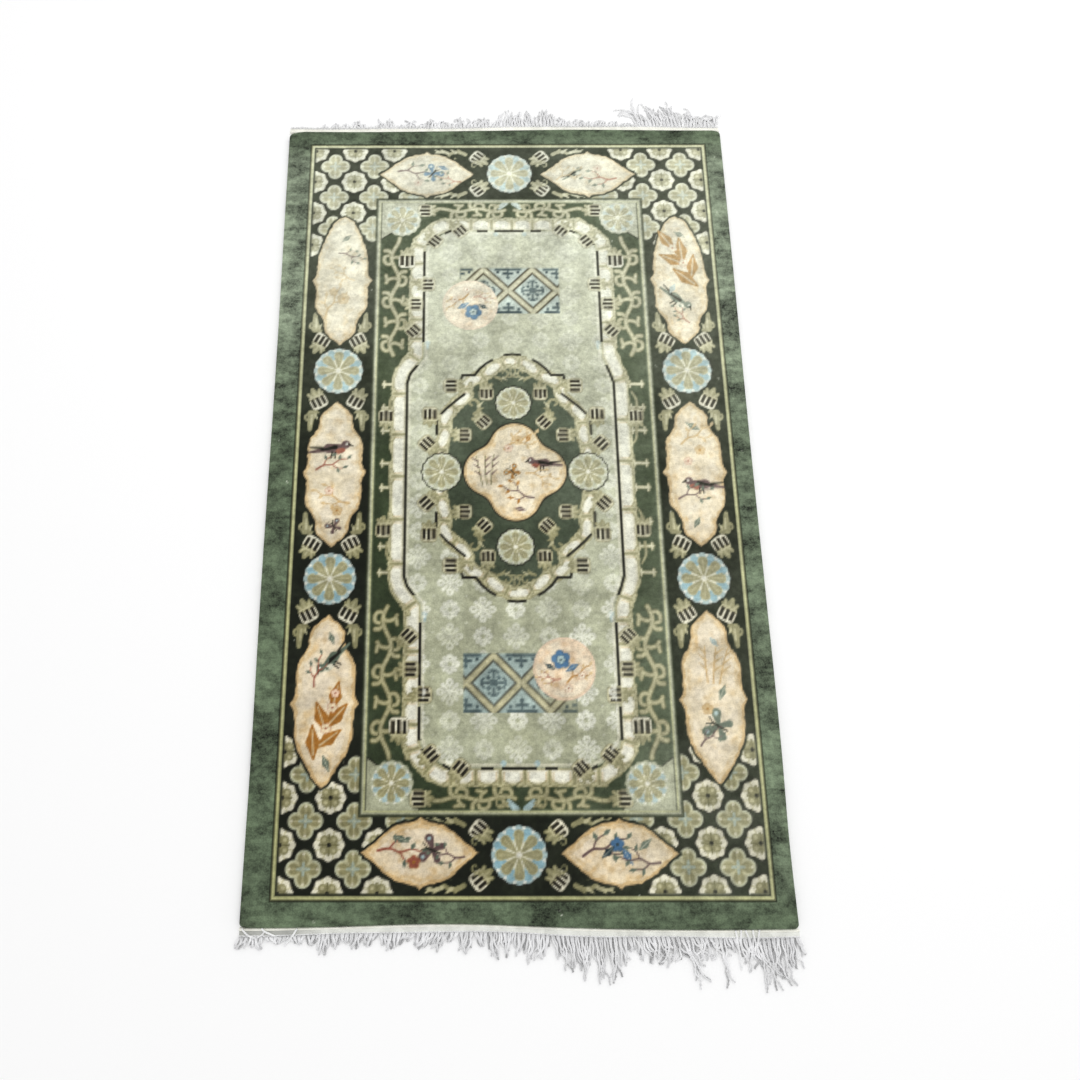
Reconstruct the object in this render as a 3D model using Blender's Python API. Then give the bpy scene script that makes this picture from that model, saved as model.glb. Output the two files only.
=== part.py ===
"""A hand-knotted silk rug lying flat: the pile body, and at each end a flat-woven
strip whose warps run on as a loose, uneven fringe.

Metres, +Z up. The origin is under the middle of the rug, on the floor. The rug's
length runs along Y: the near end is at -Y, the far end at +Y.
"""

import math
import random

import bmesh
import bpy

# Driving dimensions
PILE_WIDTH = 0.914
PILE_LENGTH = 1.550
RUG_THICKNESS = 0.010
PILE_EDGE_ROUND = 0.0035
PILE_EDGE_STEPS = 3
CLEARANCE = 0.0003

STRIP_WIDTH = 0.013
STRIP_THICKNESS = 0.0032
STRIP_WAVE = 0.0012
STRIP_WAVE_PITCH = 0.273

LOCKS_PER_END = 118
LOCK_RINGS = 4
LOCK_ROOT_WIDTH = 0.0030
LOCK_TIP_WIDTH = 0.0016
LOCK_ROOT_HEIGHT = 0.0030
LOCK_TIP_HEIGHT = 0.0014
FRINGE_REACH = 0.082
SHORTEST_SHARE = 0.78
SIDE_SPLAY = 0.010
LEAN_POWER = 1.4
CLUMP_PITCH = 0.047
CLUMP_PULL = 0.0028
CLUMP_DRIFT = 1.3
CLUMP_DRIFT_PITCH = 0.31
LOCK_CURL = 0.0022
CURL_TURNS = 0.9
CURL_PITCH = 0.13
FRINGE_SEED = 11

HALF_WIDTH = PILE_WIDTH / 2
HALF_LENGTH = PILE_LENGTH / 2
OUTLINE_STEP = 0.03
SAME_PLACE = 1e-6

# How the outline departs from a plain rectangle: where along the edge, how far
# outwards there, and over what width the swelling or the worn corner spreads.
NEAR_END_SWELLS = (
    {"at": -0.120, "out": -0.0065, "spread": 0.170},
    {"at": 0.300, "out": 0.0025, "spread": 0.200},
)
FAR_END_SWELLS = (
    {"at": 0.150, "out": 0.0030, "spread": 0.160},
    {"at": -0.300, "out": -0.0020, "spread": 0.150},
)
LEFT_SIDE_SWELLS = (
    {"at": 0.250, "out": -0.0020, "spread": 0.300},
    {"at": -0.500, "out": -0.0015, "spread": 0.200},
)
RIGHT_SIDE_SWELLS = (
    {"at": 0.050, "out": -0.0015, "spread": 0.350},
    {"at": -0.650, "out": -0.0030, "spread": 0.120},
)

# Worn, turned-in corners: how far each reaches along the end and along the side.
CORNERS = {
    "near_left": {"along_end": 0.012, "along_side": 0.008},
    "near_right": {"along_end": 0.010, "along_side": 0.008},
    "far_right": {"along_end": 0.018, "along_side": 0.011},
    "far_left": {"along_end": 0.036, "along_side": 0.014},
}
CORNER_POINTS = 5

# The fringe's length and lean along each end, from the left corner to the right
# one. x is across the rug, reach is the length of the locks there, and lean is how
# far their tips lie to the right of their roots.
NEAR_FRINGE = (
    {"x": -0.457, "reach": 0.024, "lean": -0.010},
    {"x": -0.300, "reach": 0.022, "lean": -0.008},
    {"x": -0.150, "reach": 0.032, "lean": -0.005},
    {"x": 0.000, "reach": 0.040, "lean": -0.002},
    {"x": 0.090, "reach": 0.060, "lean": 0.006},
    {"x": 0.200, "reach": 0.046, "lean": 0.022},
    {"x": 0.300, "reach": 0.058, "lean": 0.020},
    {"x": 0.400, "reach": 0.080, "lean": 0.008},
    {"x": 0.457, "reach": 0.056, "lean": 0.004},
)
FAR_FRINGE = (
    {"x": -0.457, "reach": 0.018, "lean": 0.010},
    {"x": -0.250, "reach": 0.034, "lean": 0.006},
    {"x": -0.050, "reach": 0.036, "lean": 0.000},
    {"x": 0.060, "reach": 0.040, "lean": -0.006},
    {"x": 0.170, "reach": 0.024, "lean": -0.010},
    {"x": 0.232, "reach": 0.080, "lean": -0.016},
    {"x": 0.300, "reach": 0.062, "lean": -0.010},
    {"x": 0.380, "reach": 0.050, "lean": 0.004},
    {"x": 0.457, "reach": 0.044, "lean": 0.010},
)

SILK_GREEN = (0.075, 0.115, 0.075, 1.0)
WARP_CREAM = (0.72, 0.70, 0.64, 1.0)


def clear_scene():
    """Empties the scene and gives it one collection for the rug."""
    for obj in list(bpy.data.objects):
        bpy.data.objects.remove(obj, do_unlink=True)
    collection = bpy.data.collections.new("silk_rug")
    bpy.context.scene.collection.children.link(collection)
    return collection


def material(name, colour, roughness):
    """A plain Principled material."""
    made = bpy.data.materials.new(name)
    made.use_nodes = True
    shader = made.node_tree.nodes["Principled BSDF"]
    shader.inputs["Base Color"].default_value = colour
    shader.inputs["Roughness"].default_value = roughness
    shader.inputs["Metallic"].default_value = 0.0
    return made


def add_object(name, mesh, finish, collection):
    """Links a mesh as one named object with its material."""
    mesh.materials.clear()
    mesh.materials.append(finish)
    obj = bpy.data.objects.new(name, mesh)
    collection.objects.link(obj)
    return obj


def swell(swells, at):
    """How far outwards an edge stands at this place along it."""
    return sum(s["out"] * math.exp(-(((at - s["at"]) / s["spread"]) ** 2)) for s in swells)


def between_corners(x, end):
    """X held to the stretch of this end, near or far, that lies between its worn corners."""
    low = -HALF_WIDTH + CORNERS[end + "_left"]["along_end"]
    high = HALF_WIDTH - CORNERS[end + "_right"]["along_end"]
    return min(high, max(low, x))


def near_edge(x):
    """The near end of the pile, as a Y coordinate."""
    return -HALF_LENGTH - swell(NEAR_END_SWELLS, between_corners(x, "near"))


def far_edge(x):
    """The far end of the pile, as a Y coordinate."""
    return HALF_LENGTH + swell(FAR_END_SWELLS, between_corners(x, "far"))


def left_edge(y):
    """The left side of the pile, as an X coordinate."""
    return -HALF_WIDTH - swell(LEFT_SIDE_SWELLS, y)


def right_edge(y):
    """The right side of the pile, as an X coordinate."""
    return HALF_WIDTH + swell(RIGHT_SIDE_SWELLS, y)


def steps_between(start, end):
    """Evenly spaced places from start to end, both left out, about a step apart."""
    count = max(2, round(abs(end - start) / OUTLINE_STEP))
    return [start + (end - start) * i / count for i in range(1, count)]


def corner_points(centre, reach, first_angle):
    """A quarter of an ellipse about centre, turning left from first_angle."""
    turns = [first_angle + math.pi / 2 * i / (CORNER_POINTS - 1) for i in range(CORNER_POINTS)]
    return [(centre[0] + reach[0] * math.cos(a), centre[1] + reach[1] * math.sin(a)) for a in turns]


def corner(name, x_edge, y_edge, x_side, y_side, first_angle):
    """The rounded corner where a side and an end of the pile meet."""
    along_end, along_side = CORNERS[name]["along_end"], CORNERS[name]["along_side"]
    y = y_edge(x_side * HALF_WIDTH)
    x = x_edge(y_side * HALF_LENGTH)
    centre = (x - x_side * along_end, y - y_side * along_side)
    return corner_points(centre, (along_end, along_side), first_angle)


def pile_outline():
    """The pile's outline seen from above, counter-clockwise from the near left corner."""
    near_left = corner("near_left", left_edge, near_edge, -1, -1, math.pi)
    near_right = corner("near_right", right_edge, near_edge, 1, -1, -math.pi / 2)
    far_right = corner("far_right", right_edge, far_edge, 1, 1, 0.0)
    far_left = corner("far_left", left_edge, far_edge, -1, 1, math.pi / 2)
    points = list(near_left)
    points += [(x, near_edge(x)) for x in steps_between(near_left[-1][0], near_right[0][0])]
    points += near_right
    points += [(right_edge(y), y) for y in steps_between(near_right[-1][1], far_right[0][1])]
    points += far_right
    points += [(x, far_edge(x)) for x in steps_between(far_right[-1][0], far_left[0][0])]
    points += far_left
    points += [(left_edge(y), y) for y in steps_between(far_left[-1][1], near_left[0][1])]
    return points


def flat_curve_mesh(name, outline, thickness):
    """A closed flat outline given a thickness, as a mesh with welded caps."""
    curve = bpy.data.curves.new(name + "_outline", "CURVE")
    curve.dimensions = "2D"
    curve.fill_mode = "BOTH"
    curve.extrude = thickness / 2
    spline = curve.splines.new("POLY")
    spline.points.add(len(outline) - 1)
    for point, (x, y) in zip(spline.points, outline):
        point.co = (x, y, 0.0, 1.0)
    spline.use_cyclic_u = True
    obj = bpy.data.objects.new(name + "_outline", curve)
    bpy.context.scene.collection.objects.link(obj)
    bpy.context.view_layer.update()
    graph = bpy.context.evaluated_depsgraph_get()
    mesh = bpy.data.meshes.new_from_object(obj.evaluated_get(graph))
    bpy.data.objects.remove(obj, do_unlink=True)
    bpy.data.curves.remove(curve)
    mesh.name = name
    bm = bmesh.new()
    bm.from_mesh(mesh)
    bmesh.ops.remove_doubles(bm, verts=bm.verts, dist=0.00005)
    bmesh.ops.translate(bm, verts=bm.verts, vec=(0.0, 0.0, thickness / 2))
    bmesh.ops.recalc_face_normals(bm, faces=bm.faces)
    bm.to_mesh(mesh)
    bm.free()
    return mesh


def round_top_rim(mesh, height, width, steps):
    """Rounds over the rim round a flat slab's top face, as clipped pile leans out."""
    bm = bmesh.new()
    bm.from_mesh(mesh)
    bmesh.ops.dissolve_limit(
        bm, angle_limit=0.001, use_dissolve_boundaries=False, verts=bm.verts, edges=bm.edges
    )
    rim = [
        edge
        for edge in bm.edges
        if all(abs(v.co.z - height) < SAME_PLACE for v in edge.verts)
        and any(abs(f.normal.z) < 0.5 for f in edge.link_faces)
    ]
    bmesh.ops.bevel(
        bm, geom=rim, offset=width, segments=steps, profile=0.5, affect="EDGES", clamp_overlap=True
    )
    bmesh.ops.triangulate(bm, faces=[f for f in bm.faces if len(f.verts) > 4])
    bm.to_mesh(mesh)
    bm.free()


def build_pile_body(finish, collection):
    """The knotted body: foundation and clipped pile as one flat solid."""
    mesh = flat_curve_mesh("pile_body", pile_outline(), RUG_THICKNESS)
    round_top_rim(mesh, RUG_THICKNESS, PILE_EDGE_ROUND, PILE_EDGE_STEPS)
    mesh.shade_smooth()
    mesh.set_sharp_from_angle(angle=math.radians(40))
    return add_object("pile_body", mesh, finish, collection)


def along(rows, x, key):
    """The named column of a table at x, eased between the two rows on either side."""
    for low, high in zip(rows, rows[1:]):
        if x <= high["x"]:
            t = max(0.0, (x - low["x"]) / (high["x"] - low["x"]))
            t = t * t * (3 - 2 * t)
            return low[key] + (high[key] - low[key]) * t
    return rows[-1][key]


def clump_pull(x):
    """How far locks rooted at x are drawn sideways, towards the middle of their clump."""
    drift = CLUMP_DRIFT * math.sin(math.tau * x / CLUMP_DRIFT_PITCH)
    return -CLUMP_PULL * math.sin(math.tau * x / CLUMP_PITCH + drift)


def lock_curl(x, t):
    """The slow sideways wave of a lock rooted at x, a share t of the way to its tip."""
    return LOCK_CURL * t * math.sin(math.tau * (CURL_TURNS * t + x / CURL_PITCH))


def lock_lengths(rows, roots, seed):
    """Each lock's length: the table's reach, uneven by a seeded share, the longest as stated."""
    rng = random.Random(seed)
    lengths = [along(rows, x, "reach") * rng.uniform(SHORTEST_SHARE, 1.0) for x in roots]
    scale = FRINGE_REACH / max(lengths)
    return [length * scale for length in lengths]


def grow_lock(bm, face, root_x, outward, length, lean):
    """Draws one lock out of a face of the strip's outer edge, ring by ring, lying level."""
    root_y = sum(v.co.y for v in face.verts) / len(face.verts)
    for ring in range(1, LOCK_RINGS + 1):
        t = ring / LOCK_RINGS
        face = bmesh.ops.extrude_discrete_faces(bm, faces=[face])["faces"][0]
        width = LOCK_ROOT_WIDTH + (LOCK_TIP_WIDTH - LOCK_ROOT_WIDTH) * t**2
        height = LOCK_ROOT_HEIGHT + (LOCK_TIP_HEIGHT - LOCK_ROOT_HEIGHT) * t
        centre_x = root_x + lean * t**LEAN_POWER + lock_curl(root_x, t)
        centre_x = max(-HALF_WIDTH - SIDE_SPLAY + width / 2, centre_x)
        centre_x = min(HALF_WIDTH + SIDE_SPLAY - width / 2, centre_x)
        middle = sum(v.co.x for v in face.verts) / len(face.verts)
        for v in face.verts:
            side = 1 if v.co.x > middle else -1
            v.co.x = centre_x + side * width / 2
            v.co.y = root_y + outward * length * t
            v.co.z = height if v.co.z > LOCK_TIP_HEIGHT / 2 else 0.0


def lock_roots():
    """Where the locks are rooted across the rug."""
    pitch = (PILE_WIDTH - LOCK_ROOT_WIDTH) / (LOCKS_PER_END - 1)
    return [-HALF_WIDTH + LOCK_ROOT_WIDTH / 2 + pitch * i for i in range(LOCKS_PER_END)]


def strip_columns():
    """X of the strip's cross lines: one either side of each lock's root."""
    return sorted(x + side * LOCK_ROOT_WIDTH / 2 for x in lock_roots() for side in (-1, 1))


def build_fringed_end(name, edge, outward, rows, seed, finish, collection):
    """A flat-woven end strip with its fringe grown out of the outer edge, as one solid."""
    columns = strip_columns()
    bm = bmesh.new()
    bmesh.ops.create_grid(bm, x_segments=len(columns) - 1, y_segments=1, size=1.0)
    for v in bm.verts:
        x = columns[round((v.co.x + 1) / 2 * (len(columns) - 1))]
        is_outer = v.co.y * outward > 0
        inner_y = edge(x) + outward * CLEARANCE
        wave = STRIP_WAVE * math.sin(math.tau * x / STRIP_WAVE_PITCH + outward)
        v.co = (x, inner_y + outward * (STRIP_WIDTH + wave if is_outer else 0.0), 0.0)
    top = bmesh.ops.extrude_face_region(bm, geom=bm.faces[:])
    raised = [item for item in top["geom"] if isinstance(item, bmesh.types.BMVert)]
    bmesh.ops.translate(bm, verts=raised, vec=(0.0, 0.0, STRIP_THICKNESS))
    bmesh.ops.recalc_face_normals(bm, faces=bm.faces)
    fronts = [
        face
        for face in bm.faces
        if face.normal.y * outward > 0.7 and abs(face.normal.z) < 0.5
    ]
    fronts.sort(key=lambda face: face.calc_center_median().x)
    roots = lock_roots()
    lengths = lock_lengths(rows, roots, seed)
    for face, root_x, length in zip(fronts[::2], roots, lengths):
        lean = along(rows, root_x, "lean") + clump_pull(root_x)
        grow_lock(bm, face, root_x, outward, length, lean)
    bmesh.ops.recalc_face_normals(bm, faces=bm.faces)
    mesh = bpy.data.meshes.new(name)
    bm.to_mesh(mesh)
    bm.free()
    return add_object(name, mesh, finish, collection)


def main():
    """Builds the rug's three pieces."""
    collection = clear_scene()
    silk = material("silk_pile", SILK_GREEN, 0.75)
    warp = material("warp_yarn", WARP_CREAM, 0.85)
    build_pile_body(silk, collection)
    build_fringed_end("near_fringed_end", near_edge, -1, NEAR_FRINGE, FRINGE_SEED, warp, collection)
    build_fringed_end("far_fringed_end", far_edge, 1, FAR_FRINGE, FRINGE_SEED + 1, warp, collection)


main()
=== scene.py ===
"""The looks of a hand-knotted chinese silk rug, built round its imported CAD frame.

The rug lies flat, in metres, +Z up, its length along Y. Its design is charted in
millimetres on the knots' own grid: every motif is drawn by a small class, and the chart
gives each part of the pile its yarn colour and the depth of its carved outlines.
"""

from __future__ import annotations

import logging
import math
import random
from copy import copy
from dataclasses import dataclass, field
from enum import Enum
from typing import Protocol, Sequence

import bpy
import numpy as np
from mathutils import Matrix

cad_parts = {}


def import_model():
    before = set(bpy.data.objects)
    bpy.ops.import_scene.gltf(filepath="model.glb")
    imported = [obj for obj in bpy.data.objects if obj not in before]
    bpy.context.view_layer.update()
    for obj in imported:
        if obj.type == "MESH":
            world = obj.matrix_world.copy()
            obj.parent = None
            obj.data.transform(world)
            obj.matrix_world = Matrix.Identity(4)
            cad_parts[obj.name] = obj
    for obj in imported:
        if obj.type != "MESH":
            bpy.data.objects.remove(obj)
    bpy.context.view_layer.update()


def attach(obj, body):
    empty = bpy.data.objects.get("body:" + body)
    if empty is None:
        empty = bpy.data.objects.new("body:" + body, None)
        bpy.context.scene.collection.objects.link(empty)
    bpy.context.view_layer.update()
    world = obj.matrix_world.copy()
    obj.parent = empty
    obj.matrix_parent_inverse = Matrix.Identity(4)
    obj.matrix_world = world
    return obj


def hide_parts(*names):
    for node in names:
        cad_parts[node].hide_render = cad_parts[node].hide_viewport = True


LOG = logging.getLogger("silk_rug")
MM = 0.001
TINY = 1e-9
OUTSIDE = 9.0
QUARTERS = ((-1, -1), (-1, 1), (1, -1), (1, 1))

Point = tuple[float, float]
Points = Sequence[Point]
Swell = tuple[float, float, float]
Block = tuple[int, int, int, int]
Colour = tuple[float, float, float, float]


class Yarn(Enum):
    """The dyed yarns of the rug, as screen colours from 0 to 255."""

    BAND_GREEN = (80, 93, 72)
    GROUND_DARK = (14, 19, 6)
    INNER_GREEN = (46, 57, 34)
    MEDALLION_GREEN = (58, 68, 50)
    SAGE = (163, 165, 136)
    PALE_SAGE = (184, 187, 158)
    CREAM = (226, 221, 196)
    WHITE = (236, 236, 222)
    PEACH_CREAM = (227, 208, 172)
    PEACH_PALE = (236, 221, 194)
    PEACH_SHADE = (200, 162, 104)
    TAN_RIM = (204, 172, 120)
    KHAKI = (136, 131, 92)
    DEEP_KHAKI = (104, 100, 64)
    LIGHT_KHAKI = (180, 174, 134)
    GUARD = (184, 184, 130)
    LIGHT_BLUE = (162, 185, 184)
    SKY_BLUE = (134, 172, 182)
    MID_BLUE = (64, 104, 142)
    NAVY = (30, 46, 52)
    LINE_BLACK = (18, 18, 10)
    BAR_BROWN = (46, 38, 22)
    LEAF_GREY = (92, 104, 88)
    GOLD_BROWN = (160, 104, 36)
    PLUM_BROWN = (92, 70, 68)
    RED_BROWN = (148, 80, 60)
    SALMON = (228, 196, 168)
    WEFT_CREAM = (252, 251, 240)
    WEFT_GREY = (236, 237, 230)
    KNOT_WHITE = (249, 249, 250)

    @property
    def colour(self) -> np.ndarray:
        """The yarn's screen colour from 0 to 1."""
        return np.array(self.value, np.float32) / 255.0


def linear_light(screen: np.ndarray) -> np.ndarray:
    """Screen colours turned into linear light.

    Args:
        screen: Colours from 0 to 1.

    Returns:
        The same colours in linear light.
    """
    low = screen / 12.92
    high = ((np.maximum(screen, 0.04) + 0.055) / 1.055) ** 2.4
    return np.where(screen <= 0.04045, low, high)


def ramp(value: np.ndarray, start: float, run: float) -> np.ndarray:
    """From 0 at a start to 1 one run further on."""
    return np.clip((value - start) / run, 0, 1)


def disc(u: np.ndarray, v: np.ndarray, radius: float) -> np.ndarray:
    """Distance to a round shape of this radius about the origin."""
    return np.hypot(u, v) - radius


def lobed(u: np.ndarray, v: np.ndarray, radius: float, depth: float, count: int) -> np.ndarray:
    """Distance to a round shape whose rim waves in and out count times."""
    return np.hypot(u, v) - radius - depth * np.cos(count * np.arctan2(u, v))


def bar(u: np.ndarray, v: np.ndarray, half_u: float, half_v: float, rounding: float = 0.0) -> np.ndarray:
    """Distance to an upright rectangle about the origin, its corners rounded."""
    out_u = np.abs(u) - half_u + rounding
    out_v = np.abs(v) - half_v + rounding
    outside = np.hypot(np.maximum(out_u, 0), np.maximum(out_v, 0))
    return outside + np.minimum(np.maximum(out_u, out_v), 0) - rounding


def stroke(u: np.ndarray, v: np.ndarray, points: Points, start: float, end: float) -> np.ndarray:
    """Distance to a line through the points.

    Args:
        u: Across, for each knot.
        v: Up, for each knot.
        points: What the line runs through.
        start: The line's width at its first point.
        end: The line's width at its last point.

    Returns:
        The distance to the line's edge, negative inside.
    """
    nearest = np.full(u.shape, np.inf, np.float32)
    spans = len(points) - 1
    for index, ((ax, ay), (bx, by)) in enumerate(zip(points, points[1:])):
        run_u, run_v = bx - ax, by - ay
        length = max(run_u**2 + run_v**2, TINY)
        t = np.clip(((u - ax) * run_u + (v - ay) * run_v) / length, 0, 1)
        half = (start + (end - start) * (index + t) / spans) / 2
        nearest = np.minimum(nearest, np.hypot(u - ax - t * run_u, v - ay - t * run_v) - half)
    return nearest


def polygon(u: np.ndarray, v: np.ndarray, points: Points) -> np.ndarray:
    """Signed distance to a closed outline through the points."""
    inside = np.zeros(u.shape, bool)
    closed = [*points, points[0]]
    for (ax, ay), (bx, by) in zip(closed, closed[1:]):
        if ay != by:
            crosses = (v < ay) != (v < by)
            inside ^= crosses & (u < ax + (v - ay) * (bx - ax) / (by - ay))
    nearest = stroke(u, v, closed, 0.0, 0.0)
    return np.where(inside, -nearest, nearest)


def blend_union(first: np.ndarray, second: np.ndarray, softness: float) -> np.ndarray:
    """Two shapes joined into one, the corner between them filled softly."""
    share = np.clip(0.5 + 0.5 * (second - first) / softness, 0, 1)
    return second + (first - second) * share - softness * share * (1 - share)


def spokes(u: np.ndarray, v: np.ndarray, count: int, turn: float = 0.0) -> tuple[np.ndarray, np.ndarray]:
    """Folds the plane into one of count equal sectors, its middle pointing up.

    Args:
        u: Across, for each knot.
        v: Up, for each knot.
        count: How many sectors there are round the origin.
        turn: Where the first sector's middle points, in degrees to the right of up.

    Returns:
        Across and up within the sector.
    """
    sector = math.tau / count
    angle = np.arctan2(u, v) - math.radians(turn) + sector / 2
    angle = np.mod(angle, sector) - sector / 2
    reach = np.hypot(u, v)
    return reach * np.sin(angle), reach * np.cos(angle)


def smooth(points: Points, steps: int = 5) -> list[Point]:
    """A soft line through the points, as more points.

    Args:
        points: What the line runs through.
        steps: How many points each span gets.

    Returns:
        The points of the soft line, with both ends.
    """
    held = [points[0], *points, points[-1]]
    line: list[Point] = []
    for a, b, c, d in zip(held, held[1:], held[2:], held[3:]):
        for step in range(steps):
            t = step / steps
            line.append(
                tuple(
                    0.5 * (2 * q + (r - p) * t + (2 * p - 5 * q + 4 * r - s) * t**2
                           + (3 * q - p - 3 * r + s) * t**3)
                    for p, q, r, s in zip(a, b, c, d)
                )
            )
    line.append(points[-1])
    return line


def mirrored(upper: Points, lower: Points | None = None) -> list[Point]:
    """A closed outline, the same to the left and to the right.

    Args:
        upper: Its upper right quarter, which runs from the top to the right.
        lower: Its lower right quarter turned up, or nothing if it is the same.

    Returns:
        The points of the whole outline.
    """
    right = [*upper, *[(u, -v) for u, v in reversed((lower or upper)[:-1])]]
    return [*right, *[(-u, v) for u, v in reversed(right[1:-1])]]


def patchy(x: np.ndarray, y: np.ndarray, pitch: float, seed: int) -> np.ndarray:
    """Soft patches from -1 to 1, about a pitch apart.

    Args:
        x: Across, for each knot.
        y: Along, for each knot.
        pitch: The distance between patches, in the same unit.
        seed: The seed that the patches are drawn from.

    Returns:
        A value for each knot.
    """
    size = 257
    table = np.random.default_rng(seed).uniform(-1, 1, (size, size))
    across, along = x / pitch + size * 4, y / pitch + size * 4
    left, low = np.floor(across).astype(int), np.floor(along).astype(int)
    s, t = across - left, along - low
    s, t = s * s * (3 - 2 * s), t * t * (3 - 2 * t)
    corners = [table[(low + j) % size, (left + i) % size] for j in (0, 1) for i in (0, 1)]
    near = corners[0] + (corners[1] - corners[0]) * s
    far = corners[2] + (corners[3] - corners[2]) * s
    return near + (far - near) * t


@dataclass(frozen=True)
class Place:
    """Where a motif stands on the chart, in millimetres and degrees."""

    x: float
    y: float
    turn: float = 0.0
    flip: bool = False
    scale: float = 1.0

    def local(self, x: np.ndarray, y: np.ndarray) -> tuple[np.ndarray, np.ndarray]:
        """Chart positions seen from the motif: across and up."""
        across, up = (x - self.x) / self.scale, (y - self.y) / self.scale
        c, s = math.cos(math.radians(self.turn)), math.sin(math.radians(self.turn))
        u, v = c * across + s * up, c * up - s * across
        return (-u if self.flip else u), v

    def at(self, u: float, v: float, turn: float = 0.0, flip: bool = False, scale: float = 1.0) -> Place:
        """A place that is given from this one.

        Args:
            u: Across from here.
            v: Up from here.
            turn: Its own turn to the left.
            flip: True if it is a mirror image.
            scale: Its own scale.

        Returns:
            The same place on the chart.
        """
        u = -u if self.flip else u
        c, s = math.cos(math.radians(self.turn)), math.sin(math.radians(self.turn))
        x = self.x + self.scale * (c * u - s * v)
        y = self.y + self.scale * (s * u + c * v)
        own = -turn if self.flip else turn
        return Place(x, y, self.turn + own, self.flip != flip, self.scale * scale)


@dataclass(frozen=True)
class Frame:
    """A rectangle of the design, in millimetres."""

    left: float
    right: float
    near: float
    far: float

    def distance(self, x: np.ndarray, y: np.ndarray) -> np.ndarray:
        """Signed distance to the rectangle, its corners kept square."""
        out_x = np.maximum(self.left - x, x - self.right)
        return np.maximum(out_x, np.maximum(self.near - y, y - self.far))

    def inset(self, by: float) -> Frame:
        """The rectangle drawn in on every side."""
        return Frame(self.left + by, self.right - by, self.near + by, self.far - by)


EDGE_FRAME = Frame(-457.0, 457.0, -775.0, 775.0)
BORDER_FRAME = Frame(-409.5, 422.5, -734.5, 739.5)
INNER_FRAME = Frame(-267.0, 280.0, -603.0, 606.0)


@dataclass
class Chart:
    """The rug's design: a colour and a carved depth for each knot of a grid.

    xs and ys are the grid's columns and rows in millimetres.
    """

    xs: np.ndarray
    ys: np.ndarray
    knot: float = 2.3
    carve_depth: float = 1.0
    within: Frame | None = None
    colour: np.ndarray = field(init=False)
    depth: np.ndarray = field(init=False)

    def __post_init__(self) -> None:
        """Starts with a plain cloth."""
        self.colour = np.zeros((len(self.ys), len(self.xs), 3), np.float32)
        self.colour[:] = Yarn.BAND_GREEN.colour
        self.depth = np.zeros(self.colour.shape[:2], np.float32)

    def patch(self, place: Place, reach: float) -> Patch:
        """The knots within reach of a place, seen from that place.

        Args:
            place: Where the motif stands.
            reach: How far the motif reaches, in its own millimetres.

        Returns:
            The patch of the chart to draw on.
        """
        far = reach * place.scale
        columns = slice(*np.searchsorted(self.xs, (place.x - far, place.x + far)))
        rows = slice(*np.searchsorted(self.ys, (place.y - far, place.y + far)))
        return Patch(self, rows, columns, place)

    def whole(self) -> Patch:
        """The whole chart as one patch, in its own millimetres."""
        return Patch(self, slice(None), slice(None), Place(0.0, 0.0))


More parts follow.
